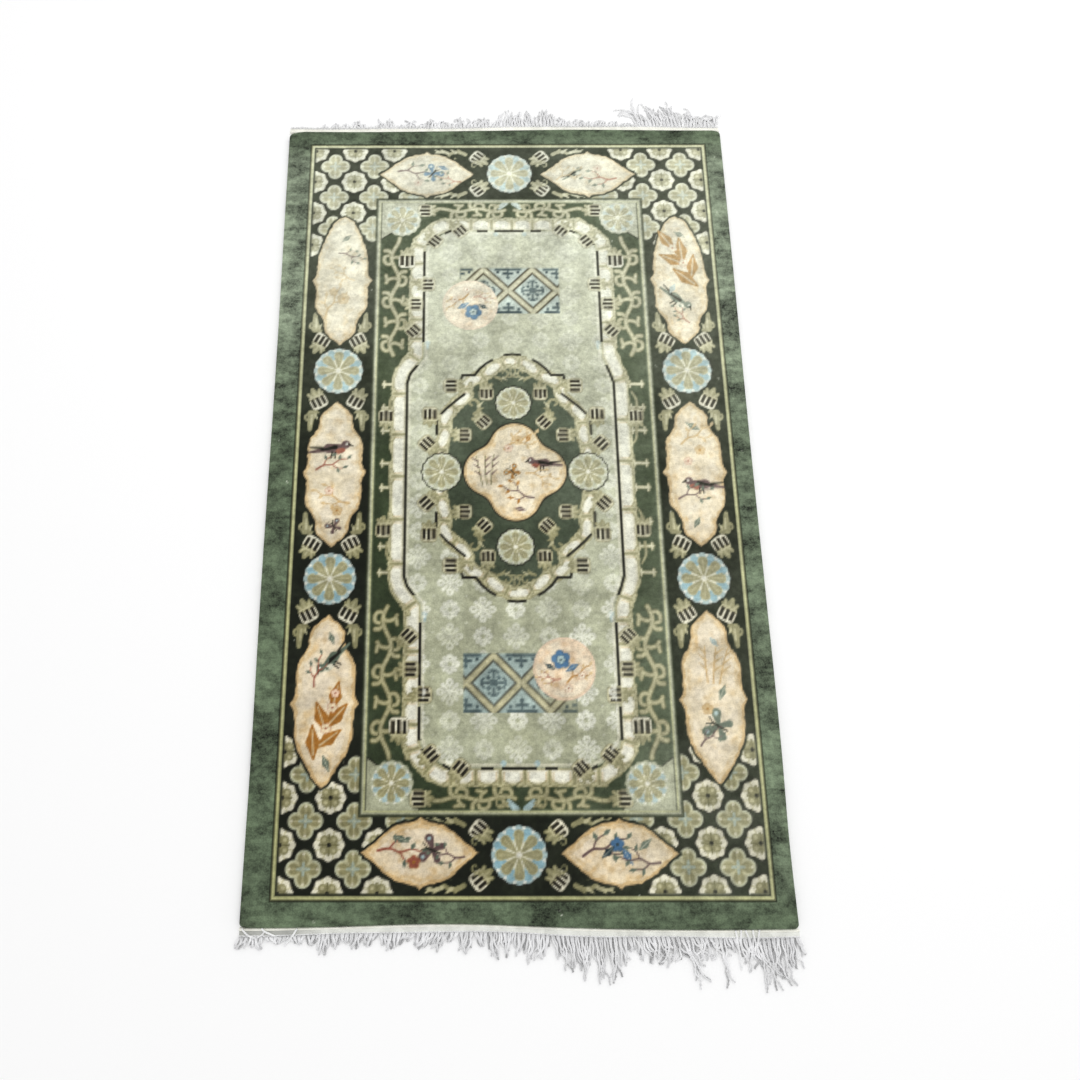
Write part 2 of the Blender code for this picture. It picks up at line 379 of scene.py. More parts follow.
class Patch:
    """A part of the chart with a motif's own coordinates, which draws shapes on it."""

    def __init__(self, chart: Chart, rows: slice, columns: slice, place: Place) -> None:
        """Looks at the chart's rows and columns from a place."""
        x, y = np.meshgrid(chart.xs[columns], chart.ys[rows])
        self.u, self.v = place.local(x, y)
        self.chart = chart
        self.place = place
        self.scale = place.scale
        self.colour = chart.colour[rows, columns]
        self.depth = chart.depth[rows, columns]
        self.limit: np.ndarray | float = 1.0
        if chart.within:
            self.limit = np.clip(0.5 - chart.within.distance(x, y) / chart.knot, 0, 1)

    def cover(self, distance: np.ndarray) -> np.ndarray:
        """How much of each knot a shape covers, from 0 to 1."""
        return np.clip(0.5 - distance * self.scale / self.chart.knot, 0, 1)

    def keep_within(self, distance: np.ndarray) -> None:
        """From here on, draws inside this shape alone."""
        self.limit = self.limit * self.cover(distance)

    def fill(self, distance: np.ndarray, yarn: Yarn, share: np.ndarray | float = 1.0) -> None:
        """Knots a shape in one yarn.

        Args:
            distance: The distance to the shape, negative inside.
            yarn: The yarn.
            share: How strongly the yarn shows.
        """
        cover = (self.cover(distance) * self.limit * share)[..., None]
        self.colour += cover * (yarn.colour - self.colour)

    def line(self, distance: np.ndarray, width: float, yarn: Yarn, share: float = 1.0) -> None:
        """Knots a shape's rim as a line of this width."""
        self.fill(np.abs(distance) - width / 2, yarn, share)

    def carve(self, distance: np.ndarray, width: float = 3.0, share: float = 1.0) -> None:
        """Clips a groove into the pile along a shape's rim."""
        groove = np.clip(1 - np.abs(distance) * self.scale / width, 0, 1)
        np.maximum(self.depth, self.chart.carve_depth * share * groove, out=self.depth)

    def layers(self, distance: np.ndarray, *layers: tuple) -> None:
        """Knots a shape several times over, each time with an inset, a yarn and its share."""
        for inset, yarn, *share in layers:
            self.fill(distance + inset, yarn, *share)

    def trace(self, points: Points, start: float, end: float, yarn: Yarn, share: float = 1.0) -> None:
        """Knots a line through points, with a width at its start and at its end."""
        self.fill(stroke(self.u, self.v, points, start, end), yarn, share)

    def rise(
        self, low: float, high: float, start: float, end: float, yarn: Yarn, share: float = 1.0
    ) -> None:
        """Knots a line straight up from one height to another."""
        self.trace(((0, low), (0, high)), start, end, yarn, share)

    def dot(self, u: float, v: float, radius: float, yarn: Yarn, share: float = 1.0) -> None:
        """Knots a round shape about a point."""
        self.fill(disc(self.u - u, self.v - v, radius), yarn, share)

    def seen(self, u: np.ndarray, v: np.ndarray) -> Patch:
        """The same knots under other coordinates."""
        other = copy(self)
        other.u, other.v = u, v
        return other

    def folded(self, count: int, turn: float = 0.0) -> Patch:
        """The same knots folded into one of count equal sectors, its middle pointing up."""
        return self.seen(*spokes(self.u, self.v, count, turn))

    def halved(self) -> Patch:
        """The same knots, those on the left seen as their mirror images on the right."""
        return self.seen(np.abs(self.u), self.v)


class Motif(Protocol):
    """Whatever knots itself on the chart at a place."""

    def draw(self, chart: Chart, place: Place) -> None:
        """Knots the motif at a place."""


@dataclass(frozen=True)
class Mark:
    """A motif and where it stands, counted from the place that it is drawn round."""

    motif: Motif
    u: float
    v: float
    turn: float = 0.0
    scale: float = 1.0
    flip: bool = False

    def draw(self, chart: Chart, place: Place) -> None:
        """Knots the motif round a place."""
        self.motif.draw(chart, place.at(self.u, self.v, self.turn, self.flip, self.scale))


def draw_marks(chart: Chart, place: Place, marks: Sequence[Mark]) -> None:
    """Knots motifs round a place, one after another."""
    for mark in marks:
        mark.draw(chart, place)


def four_ways(x: float, y: float) -> list[Place]:
    """One place turned and mirrored towards each quarter, in the order of QUARTERS."""
    return [Place(x, y, 0.0 if up > 0 else 180.0, side * up < 0) for side, up in QUARTERS]


@dataclass(frozen=True)
class RoundFlower:
    """A scalloped round flower of the corner lattice."""

    radius: float = 25.0

    def draw(self, chart: Chart, place: Place) -> None:
        """Knots the flower at a place."""
        size = self.radius
        p = chart.patch(place, size + 8)
        rim = lobed(p.u, p.v, size, 1.5, 8)
        p.carve(rim - 1.5)
        p.layers(rim, (-3.0, Yarn.LINE_BLACK), (0, Yarn.CREAM))
        p.folded(8, 22.5).rise(0.74 * size, 0.97 * size, 2.4, 1.2, Yarn.LIGHT_KHAKI)
        petals = p.folded(4, 45)
        petals.dot(0, 0.40 * size, 0.33 * size, Yarn.KHAKI)
        petals.dot(0, 0.48 * size, 0.13 * size, Yarn.LIGHT_KHAKI)
        p.folded(4).rise(5, 0.62 * size, 1.5, 4.0, Yarn.DEEP_KHAKI)
        p.dot(0, 0, 3.6, Yarn.LINE_BLACK)


@dataclass(frozen=True)
class FourLobe:
    """A four-lobed flower of the corner lattice, with a pale blue cross at its heart."""

    reach: float = 30.0

    def draw(self, chart: Chart, place: Place) -> None:
        """Knots the flower at a place."""
        p = chart.patch(place, self.reach + 8)
        arms = p.folded(4)
        lobe = 0.47 * self.reach
        tips = disc(arms.u, arms.v - (self.reach - lobe), lobe)
        shape = blend_union(tips, disc(p.u, p.v, lobe), 4.0)
        p.carve(shape - 1.5)
        p.layers(shape, (-2.6, Yarn.LINE_BLACK), (0, Yarn.PALE_SAGE), (2.6, Yarn.LIGHT_KHAKI, 0.7))
        p.fill(shape + 5.0, Yarn.KHAKI)
        p.folded(8).rise(7, 0.62 * self.reach, 1.2, 3.4, Yarn.LIGHT_KHAKI, 0.7)
        arms.dot(0, 0.78 * self.reach, 2.4, Yarn.CREAM, 0.8)
        arms.rise(0, 9.5, 6.6, 4.2, Yarn.LIGHT_BLUE, 0.62)
        p.dot(0, 0, 2.2, Yarn.PALE_SAGE)


@dataclass(frozen=True)
class Wheel:
    """A round flower of eight long petals, whose rim is scalloped."""

    radius: float = 46.0
    rim: Yarn = Yarn.LIGHT_BLUE
    wedge: Yarn = Yarn.SKY_BLUE
    outline: Yarn = Yarn.LINE_BLACK

    def draw(self, chart: Chart, place: Place) -> None:
        """Knots the flower at a place."""
        size = self.radius
        p = chart.patch(place, size + 8)
        edge = lobed(p.u, p.v, size, 1.0, 16)
        p.carve(edge - 1.0)
        p.layers(edge, (-2.4, self.outline), (0, self.rim))
        p.folded(16, 11.25).dot(0, 0.93 * size, 0.065 * size, Yarn.WHITE, 0.8)
        p.dot(0, 0, 0.84 * size, Yarn.PALE_SAGE)
        between = p.folded(8, 22.5)
        between.rise(0.50 * size, 0.80 * size, 3.0, 0.30 * size, self.wedge)
        between.rise(0.1 * size, 0.5 * size, 1.8, 2.4, Yarn.CREAM)
        petals = p.folded(8)
        petal = stroke(petals.u, petals.v, ((0, 0.14 * size), (0, 0.66 * size)), 2.0, 0.36 * size)
        p.layers(petal, (-1.0, Yarn.LIGHT_KHAKI), (0, Yarn.KHAKI, 0.78))
        petals.rise(0.3 * size, 0.72 * size, 1.4, 2.6, Yarn.LIGHT_KHAKI, 0.7)
        p.dot(0, 0, 0.12 * size, Yarn.CREAM)
        p.dot(0, 0, 0.055 * size, Yarn.WHITE)


@dataclass(frozen=True)
class CombLeaf:
    """A leaf head with dark bars along it and a pale rounded edge, on a plain base."""

    width: float
    length: float
    base: float
    pale: Yarn = Yarn.CREAM
    bars: int = 3

    def draw(self, chart: Chart, place: Place) -> None:
        """Knots the leaf, its tip up, about the middle of its head."""
        p = chart.patch(place, self.length + self.base + 8)
        half = self.length / 2
        root = ((0.22 * self.width, -half - 1), (0.36 * self.width, -half - 0.62 * self.base))
        lobes = stroke(np.abs(p.u), p.v, root, 10.0, 6.5)
        stem = stroke(p.u, p.v, ((0, -half), (0, -half - self.base)), 0.7 * self.width, 8.0)
        p.fill(np.minimum(lobes, stem), Yarn.KHAKI)
        p.fill(lobes + 2.6, Yarn.LIGHT_KHAKI, 0.8)
        p.rise(-half, -half - 0.8 * self.base, 5.0, 2.4, Yarn.LIGHT_KHAKI, 0.6)
        head = bar(p.u, p.v, self.width / 2, half, 8.0)
        p.carve(head, 2.5, 0.7)
        p.layers(head, (-1.0, Yarn.BAR_BROWN, 0.5), (0, self.pale), (2.4, Yarn.CREAM, 0.6))
        p.fill(bar(p.u, p.v + half - 2, self.width / 2 - 1, 4.0, 3.0), Yarn.LIGHT_KHAKI)
        pitch = (self.width - 2.6) / self.bars
        for index in range(self.bars):
            off_middle = index - (self.bars - 1) / 2
            shorter = abs(off_middle)
            u, v = p.u - off_middle * pitch, p.v + 0.6 + shorter
            dark = bar(u, v, 0.34 * pitch, half - 2.6 - shorter, 1.5)
            p.layers(dark, (0, Yarn.BAR_BROWN), (1.4, Yarn.LINE_BLACK))


@dataclass(frozen=True)
class Spray:
    """A khaki leaf spray: a stem that curls over, with two leaves."""

    width: float = 7.0
    yarn: Yarn = Yarn.KHAKI

    def draw(self, chart: Chart, place: Place) -> None:
        """Knots the spray growing up from a place and curling to the right."""
        p = chart.patch(place, 48)
        stem = smooth(((0, 0), (-2, 12), (2, 24), (12, 31), (21, 27), (21, 19), (15, 17)))
        p.trace(stem, self.width, 0.55 * self.width, self.yarn)
        p.trace(((-1, 10), (-10, 20)), 0.9 * self.width, 2.0, self.yarn)
        p.trace(((1, 20), (-4, 32)), 0.8 * self.width, 2.0, Yarn.LIGHT_KHAKI)


@dataclass(frozen=True)
class Scroll:
    """A run of vine through given points, with a light heart along it."""

    points: tuple[Point, ...]
    width: float = 6.0

    def draw(self, chart: Chart, place: Place) -> None:
        """Knots the vine at a place."""
        reach = max(math.hypot(u, v) for u, v in self.points) + self.width + 4
        p = chart.patch(place, reach)
        line = stroke(p.u, p.v, smooth(self.points), self.width, 0.6 * self.width)
        p.layers(line, (0, Yarn.KHAKI), (0.36 * self.width, Yarn.LIGHT_KHAKI, 0.75))


@dataclass(frozen=True)
class Streak:
    """A plain leaf, bud or petal: one line in one yarn, with a width at each end."""

    points: tuple[Point, ...]
    start: float
    end: float
    yarn: Yarn = Yarn.LIGHT_BLUE

    def draw(self, chart: Chart, place: Place) -> None:
        """Knots the line at a place."""
        reach = max(math.hypot(u, v) for u, v in self.points) + max(self.start, self.end)
        chart.patch(place, reach).trace(self.points, self.start, self.end, self.yarn)


@dataclass(frozen=True)
class Leaf:
    """One pointed leaf with a pale rib."""

    yarn: Yarn = Yarn.LEAF_GREY

    def draw(self, chart: Chart, place: Place) -> None:
        """Knots the leaf about its middle, its tip up."""
        p = chart.patch(place, 20)
        p.rise(-11, 0, 1.5, 9.5, self.yarn)
        p.rise(0, 11, 9.5, 1.5, self.yarn)
        p.rise(-8, 8, 1.4, 1.0, Yarn.CREAM, 0.6)


@dataclass(frozen=True)
class Bird:
    """A small perching bird seen from the side, facing right."""

    back: Yarn = Yarn.PLUM_BROWN
    wing: Yarn = Yarn.LINE_BLACK
    breast: Yarn = Yarn.RED_BROWN

    def draw(self, chart: Chart, place: Place) -> None:
        """Knots the bird about its breast."""
        p = chart.patch(place, 40)
        p.trace(((-3, 1), (-30, -9)), 8.5, 2.6, self.back)
        p.trace(((-8, 0), (-31, -3)), 3.0, 1.6, self.wing)
        p.trace(((-9, 0), (5, 2)), 12.0, 11.0, self.back)
        p.trace(((3, -2), (8, 1)), 6.5, 6.0, self.breast)
        p.dot(10, 8, 5.2, self.back)
        p.trace(((14, 9), (19, 7.5)), 2.8, 1.0, self.wing)
        p.dot(11, 9, 1.3, Yarn.WHITE)
        p.trace(((-1, 3), (-17, -4)), 5.0, 2.2, self.wing)
        for leg in (((0, -4), (1, -11)), ((-4, -4), (-4, -11))):
            p.trace(leg, 1.8, 1.8, self.wing)


@dataclass(frozen=True)
class Blossom:
    """A five-petalled blossom."""

    radius: float = 7.0
    petal: Yarn = Yarn.SALMON
    heart: Yarn = Yarn.RED_BROWN

    def draw(self, chart: Chart, place: Place) -> None:
        """Knots the blossom at a place."""
        p = chart.patch(place, self.radius + 6)
        petals = p.folded(5)
        petal = disc(petals.u, petals.v - 0.6 * self.radius, 0.46 * self.radius)
        p.layers(petal, (-1.2, self.heart, 0.45), (0, self.petal))
        p.dot(0, 0, 0.24 * self.radius, self.heart)


@dataclass(frozen=True)
class Twig:
    """A branching twig with leaves at its tips."""

    bark: Yarn = Yarn.PLUM_BROWN
    leaf: Yarn = Yarn.LEAF_GREY

    def draw(self, chart: Chart, place: Place) -> None:
        """Knots the twig, which grows to the right from a place."""
        p = chart.patch(place, 66)
        for branch, start, end in (
            (((0, 0), (14, 5), (28, 3), (42, 9), (56, 8)), 3.4, 1.6),
            (((14, 5), (20, 14), (30, 18)), 2.4, 1.4),
            (((28, 3), (36, -5), (45, -7)), 2.2, 1.4),
        ):
            p.trace(smooth(branch), start, end, self.bark)
        for foot, tip in (
            ((30, 18), (39, 22)), ((20, 14), (19, 23)), ((45, -7), (54, -5)), ((36, -5), (37, -14)),
            ((56, 8), (63, 13)), ((42, 9), (45, 17)),
        ):
            middle = ((foot[0] + tip[0]) / 2, (foot[1] + tip[1]) / 2)
            p.trace((foot, middle), 1.6, 4.8, self.leaf)
            p.trace((middle, tip), 4.8, 1.2, self.leaf)


@dataclass(frozen=True)
class Butterfly:
    """A butterfly seen from above."""

    wing: Yarn = Yarn.MID_BLUE
    body: Yarn = Yarn.LINE_BLACK

    def draw(self, chart: Chart, place: Place) -> None:
        """Knots the butterfly at a place, its head up."""
        p = chart.patch(place, 26)
        wings = p.halved()
        wings.trace(((2, 2), (11, 9)), 4.0, 11.0, self.wing)
        wings.trace(((2, -1), (8, -8)), 4.0, 8.0, self.wing)
        wings.dot(11, 9, 2.2, Yarn.LIGHT_BLUE)
        p.rise(7, -9, 3.0, 1.8, self.body)
        wings.trace(((0.5, 8), (4, 14)), 1.4, 1.0, self.body)


@dataclass(frozen=True)
class Reeds:
    """Upright reeds with thin leaves."""

    stem: Yarn = Yarn.KHAKI
    leaf: Yarn = Yarn.DEEP_KHAKI
    height: float = 52.0

    def draw(self, chart: Chart, place: Place) -> None:
        """Knots the reeds, which grow up from a place."""
        p = chart.patch(place, self.height + 12)
        for foot, top in ((-8, -15), (0, 2), (9, 19)):
            bend = ((foot + top) / 2 - 1, 0.5 * self.height)
            p.trace(smooth(((foot, 0), bend, (top, self.height))), 2.4, 1.4, self.stem)
            out = 11 if foot >= 0 else -11
            for at in (0.35, 0.6, 0.82):
                x, y = foot + (top - foot) * at, self.height * at
                p.trace(((x, y), (x + out, y + 9)), 3.4, 1.0, self.leaf)


@dataclass(frozen=True)
class GoldLeaves:
    """A heavy spray of golden-brown leaves with pale buds."""

    def draw(self, chart: Chart, place: Place) -> None:
        """Knots the spray about its middle, its tip up."""
        leaf, bud = Leaf(Yarn.GOLD_BROWN), Blossom(6.5, Yarn.PEACH_CREAM)
        draw_marks(chart, place, (
            Mark(leaf, -8, -30, 24, 2.1), Mark(leaf, 11, -18, -34, 1.9), Mark(leaf, -10, 6, 40, 2.0),
            Mark(leaf, 9, 14, -22, 2.1), Mark(leaf, -2, 40, 8, 1.9), Mark(bud, 2, -6), Mark(bud, 0, 24),
        ))


class FrameShape(Enum):
    """The framed grounds of the main border, as the upper right quarter of each outline."""

    SIDE = (
        (0, 143.5), (6, 139), (14, 132), (22, 125), (29, 117), (31.5, 108), (31.5, 98), (34, 90),
        (40, 79), (47, 70), (51, 60), (52, 48), (51.5, 30), (51.5, 16), (54, 9), (60, 0),
    )
    LONG_SIDE = (
        (0, 156), (6, 151), (14, 144), (23, 136), (30, 127), (32, 117), (32, 105), (34, 97),
        (40, 86), (47, 76), (51, 65), (52, 52), (51.5, 32), (51.5, 17), (54, 9), (60, 0),
    )
    BLUNT_SIDE = (
        (0, 147), (11, 142), (20, 134), (27, 121), (33, 107), (39, 91), (44, 76), (48, 60), (50, 44),
        (51.5, 16), (54, 9), (60, 0),
    )
    TAPERED_SIDE = (
        (0, 141), (8, 134), (18, 121), (30, 101), (38, 89), (44, 76), (49, 60), (51, 40), (51.5, 16),
        (54, 9), (60, 0),
    )
    END = (
        (0, 56), (6, 51), (14, 49), (26, 47.5), (37, 44), (48, 39), (58, 32), (66, 25), (74, 18),
        (83, 11), (98, 0),
    )


@dataclass(frozen=True)
class Cartouche:
    """A peach ground in a pointed frame with a small picture on it."""

    upper: FrameShape
    lower: FrameShape
    picture: tuple[Mark, ...] = ()

    def draw(self, chart: Chart, place: Place) -> None:
        """Knots the frame, its ground and its picture at a place."""
        outline = mirrored(self.upper.value, self.lower.value)
        p = chart.patch(place, max(math.hypot(u, v) for u, v in outline) + 10)
        edge = polygon(p.u, p.v, outline) + 1.3 * patchy(p.u + place.x, p.v + place.y, 7.0, 44)
        p.carve(edge - 1.0, 3.4)
        p.layers(edge, (-4.2, Yarn.GROUND_DARK), (-1.2, Yarn.LINE_BLACK))
        draw_peach_ground(p, edge, place)
        draw_marks(chart, place, self.picture)


def draw_peach_ground(p: Patch, edge: np.ndarray, place: Place) -> None:
    """Knots a stained peach ground, golden towards its rim and pale in its middle.

    Args:
        p: The patch to draw on.
        edge: The distance to the ground's edge, for each knot.
        place: Where the ground stands, which its stains are drawn from.
    """
    x, y = p.u + place.x, p.v + place.y
    p.fill(edge, Yarn.TAN_RIM)
    p.fill(edge + 5.0 + 2.6 * patchy(x, y, 9.0, 25), Yarn.PEACH_CREAM)
    golden = patchy(x, y, 14.0, 5) + 0.5 * patchy(x, y, 6.0, 15)
    deep = np.clip(1 - np.abs(edge + 9) / 14, 0, 1)
    p.fill(edge + 3.6, Yarn.TAN_RIM, np.clip(0.15 + 0.5 * golden, 0, 1) * (0.25 + 0.55 * deep))
    pale = patchy(x, y, 19.0, 6) + 0.6 * patchy(x, y, 8.0, 16)
    p.fill(edge + 12.0, Yarn.PEACH_PALE, np.clip(0.55 + 0.5 * pale, 0, 0.95))
    p.fill(edge + 8.0, Yarn.PEACH_SHADE, np.clip(0.5 * golden - 0.12, 0, 0.5))


@dataclass(frozen=True)
class CornerLattice:
    """The flowered net that fills the corners of the main border."""

    pitch_x: float = 82.0
    pitch_y: float = 75.0
    corners: tuple[tuple[float, float, int, int], ...] = (
        (-356.0, 685.0, 1, -1), (366.0, 688.0, -1, -1), (-356.0, -685.0, 1, 1), (364.0, -682.0, -1, 1),
    )
    far_column: int = 4
    far_row: int = 5

    def draw(self, chart: Chart) -> None:
        """Knots the net from its four corners inwards."""
        for x, y, inwards_x, inwards_y in self.corners:
            for column in range(-1, self.far_column + 1):
                for row in range(-1, self.far_row + 1):
                    if (column + row) % 2 or (column == self.far_column and row != 2):
                        continue
                    along = y + inwards_y * row * self.pitch_y / 2
                    place = Place(x + inwards_x * column * self.pitch_x / 2, along)
                    (RoundFlower() if column % 2 else FourLobe()).draw(chart, place)


@dataclass(frozen=True)
class MainBorder:
    """The dark border with its framed pictures, wheels and leaf heads."""

    side_frames: tuple[Point, ...] = (
        (-332.0, 416.0), (-332.0, 8.0), (-332.0, -417.0), (346.0, 416.0), (346.0, 8.0), (346.0, -410.0),
    )
    side_wheels: tuple[Point, ...] = ((-332.0, 217.0), (-332.0, -195.0), (346.0, 217.0), (346.0, -195.0))
    end_frames: tuple[Point, ...] = ((-164.0, 665.0), (172.0, 665.0), (-163.0, -660.0), (170.0, -661.0))
    end_wheels: tuple[Point, ...] = ((8.0, 667.0), (2.0, -663.0))
    side_leaves: tuple[Mark, ...] = (
        Mark(Spray(8.0), 44, 74, 10, 0.9), Mark(Spray(), 30, 44, -30, 0.6),
        Mark(CombLeaf(32, 26, 16), 35, 66, 28),
        Mark(Streak(((49, 90), (50, 122)), 15, 8, Yarn.KHAKI), 0, 0),
        Mark(Streak(((47, 94), (48, 112)), 5, 3, Yarn.LIGHT_KHAKI), 0, 0),
    )
    end_leaves: tuple[Mark, ...] = (
        Mark(CombLeaf(30, 24, 14), 68, 40, -52), Mark(Spray(8.0), 92, 47, -74, 1.05),
        Mark(Spray(), 58, 24, -70, 0.6), Mark(Spray(8.0, Yarn.LIGHT_KHAKI), 128, 50, -80, 0.9),
    )
    end_shapes_beyond: float = 300.0
    guard_width: float = 11.5

    def draw(self, chart: Chart) -> None:
        """Knots the border from its ground up."""
        ground = chart.whole()
        border = BORDER_FRAME.distance(ground.u, ground.v)
        ground.fill(border, Yarn.GROUND_DARK)
        chart.within = BORDER_FRAME.inset(self.guard_width)
        CornerLattice().draw(chart)
        for wheels, leaves in ((self.side_wheels, self.side_leaves), (self.end_wheels, self.end_leaves)):
            for x, y in wheels:
                for base in four_ways(x, y):
                    draw_marks(chart, base, leaves)
        for (x, y), picture in zip(self.side_frames, self.side_pictures()):
            Cartouche(*self.side_shapes(y), picture).draw(chart, Place(x, y))
        for (x, y), picture in zip(self.end_frames, self.end_pictures()):
            Cartouche(FrameShape.END, FrameShape.END, picture).draw(chart, Place(x, y))
        for radius, wheels in ((47.0, self.side_wheels), (46.0, self.end_wheels)):
            for x, y in wheels:
                Wheel(radius).draw(chart, Place(x, y))
        chart.within = None
        self.draw_stripes(chart)

    def side_shapes(self, y: float) -> tuple[FrameShape, FrameShape]:
        """The upper and the lower half of the frame at this height."""
        if y > self.end_shapes_beyond:
            return FrameShape.BLUNT_SIDE, FrameShape.SIDE
        if y < -self.end_shapes_beyond:
            return FrameShape.LONG_SIDE, FrameShape.TAPERED_SIDE
        return FrameShape.SIDE, FrameShape.SIDE

    def side_pictures(self) -> tuple[tuple[Mark, ...], ...]:
        """What each side frame shows, all of it this design's own."""
        plum, grey = Bird(), Bird(Yarn.LEAF_GREY, Yarn.LINE_BLACK, Yarn.CREAM)
        faint, red, brown = Twig(Yarn.PEACH_SHADE, Yarn.TAN_RIM), Twig(Yarn.RED_BROWN), Twig()
        gold, pink = Blossom(9.0, Yarn.TAN_RIM, Yarn.GOLD_BROWN), Blossom()
        leaf, blue = Leaf(), Leaf(Yarn.LIGHT_BLUE)
        reeds = Reeds(Yarn.PEACH_SHADE, Yarn.TAN_RIM)
        return (
            (Mark(brown, -8, 62, -24, 0.9), Mark(leaf, 6, 96, -50), Mark(gold, 4, -42, 0, 1.2),
             Mark(gold, -16, -26, 0, 0.9), Mark(faint, -30, -84, 60, 1.3), Mark(faint, 24, 0, 140, 0.9)),
            (Mark(plum, 2, 46, -10, 1.6), Mark(red, -34, 6, 12, 1.1), Mark(faint, 30, -60, 150, 1.2),
             Mark(pink, -8, -36), Mark(gold, 8, -74), Mark(Butterfly(Yarn.PLUM_BROWN), 4, -106, 30, 0.9)),
            (Mark(grey, 8, 70, 64, 1.5, True), Mark(red, -20, 30, 70), Mark(leaf, 8, 114, 20),
             Mark(GoldLeaves(), 4, -34, -20, 1.22), Mark(leaf, 6, -100, 24, 1.3), Mark(pink, 18, 18)),
            (Mark(GoldLeaves(), 4, 44, 26, 1.3), Mark(grey, -6, -50, -60, 1.5), Mark(red, 12, -96, 120, 0.8),
             Mark(leaf, 6, 104, 60, 1.1), Mark(blue, -16, -20, -30, 1.1)),
            (Mark(plum, 4, -26, 12, 1.5, True), Mark(brown, -34, -52, 8, 1.1), Mark(leaf, 2, 92, 60, 1.3),
             Mark(faint, -22, 56, 24, 1.2), Mark(gold, 12, 44), Mark(pink, -12, 22),
             Mark(leaf, -4, -98, -30)),
            (Mark(Butterfly(Yarn.LEAF_GREY), 6, -46, 60, 1.6), Mark(brown, -28, -78, 32, 0.9),
             Mark(gold, -12, -16), Mark(reeds, 2, 28, -6, 1.2), Mark(leaf, 16, 12, -24, 1.2),
             Mark(blue, 8, 100, 40, 0.9)),
        )

    def end_pictures(self) -> tuple[tuple[Mark, ...], ...]:
        """What each end frame shows, all of it this design's own."""
        grey, brown, red = Bird(Yarn.LEAF_GREY, Yarn.LINE_BLACK, Yarn.CREAM), Twig(), Twig(Yarn.RED_BROWN)
        faint = Twig(Yarn.PEACH_SHADE, Yarn.TAN_RIM)
        pink, bloom = Blossom(), Blossom(11.0, Yarn.MID_BLUE, Yarn.NAVY)
        rust = Blossom(10.0, Yarn.RED_BROWN, Yarn.GOLD_BROWN)
        leaf, blue = Leaf(), Leaf(Yarn.MID_BLUE)
        return (
            (Mark(brown, -60, 8, -14, 1.3), Mark(Butterfly(), 12, 2, -40, 1.25),
             Mark(red, 70, -18, 156, 0.9), Mark(pink, -18, -20), Mark(blue, 34, 16, 70)),
            (Mark(red, 58, -10, 170, 1.2), Mark(grey, -26, 2, 14), Mark(pink, 20, 14),
             Mark(faint, -66, -14, 20)),
            (Mark(red, -70, 4, -10, 1.3), Mark(Butterfly(Yarn.PLUM_BROWN), 22, 4, 70, 1.4),
             Mark(brown, 74, -6, 164), Mark(rust, -10, -14), Mark(leaf, -32, 22, 70, 1.2)),
            (Mark(brown, -62, -4, 12, 1.4), Mark(bloom, -4, 14), Mark(blue, 12, -4, 30, 1.3),
             Mark(Leaf(Yarn.NAVY), -20, 2, -50, 1.2), Mark(brown, 66, -14, 164, 1.2),
             Mark(leaf, 42, 14, -50, 1.2)),
        )

    def draw_stripes(self, chart: Chart) -> None:
        """Knots the pale guard stripe along the border's outer edge."""
        p = chart.whole()
        border = BORDER_FRAME.distance(p.u, p.v)
        p.fill(np.maximum(border, -border - self.guard_width), Yarn.GROUND_DARK)
        p.line(border + 5.0, 7.6, Yarn.LINE_BLACK, 0.6)
        p.line(border + 5.2, 5.4, Yarn.GUARD)
        p.carve(border, 2.6, 0.9)
        p.carve(border + 10.5, 2.4, 0.7)


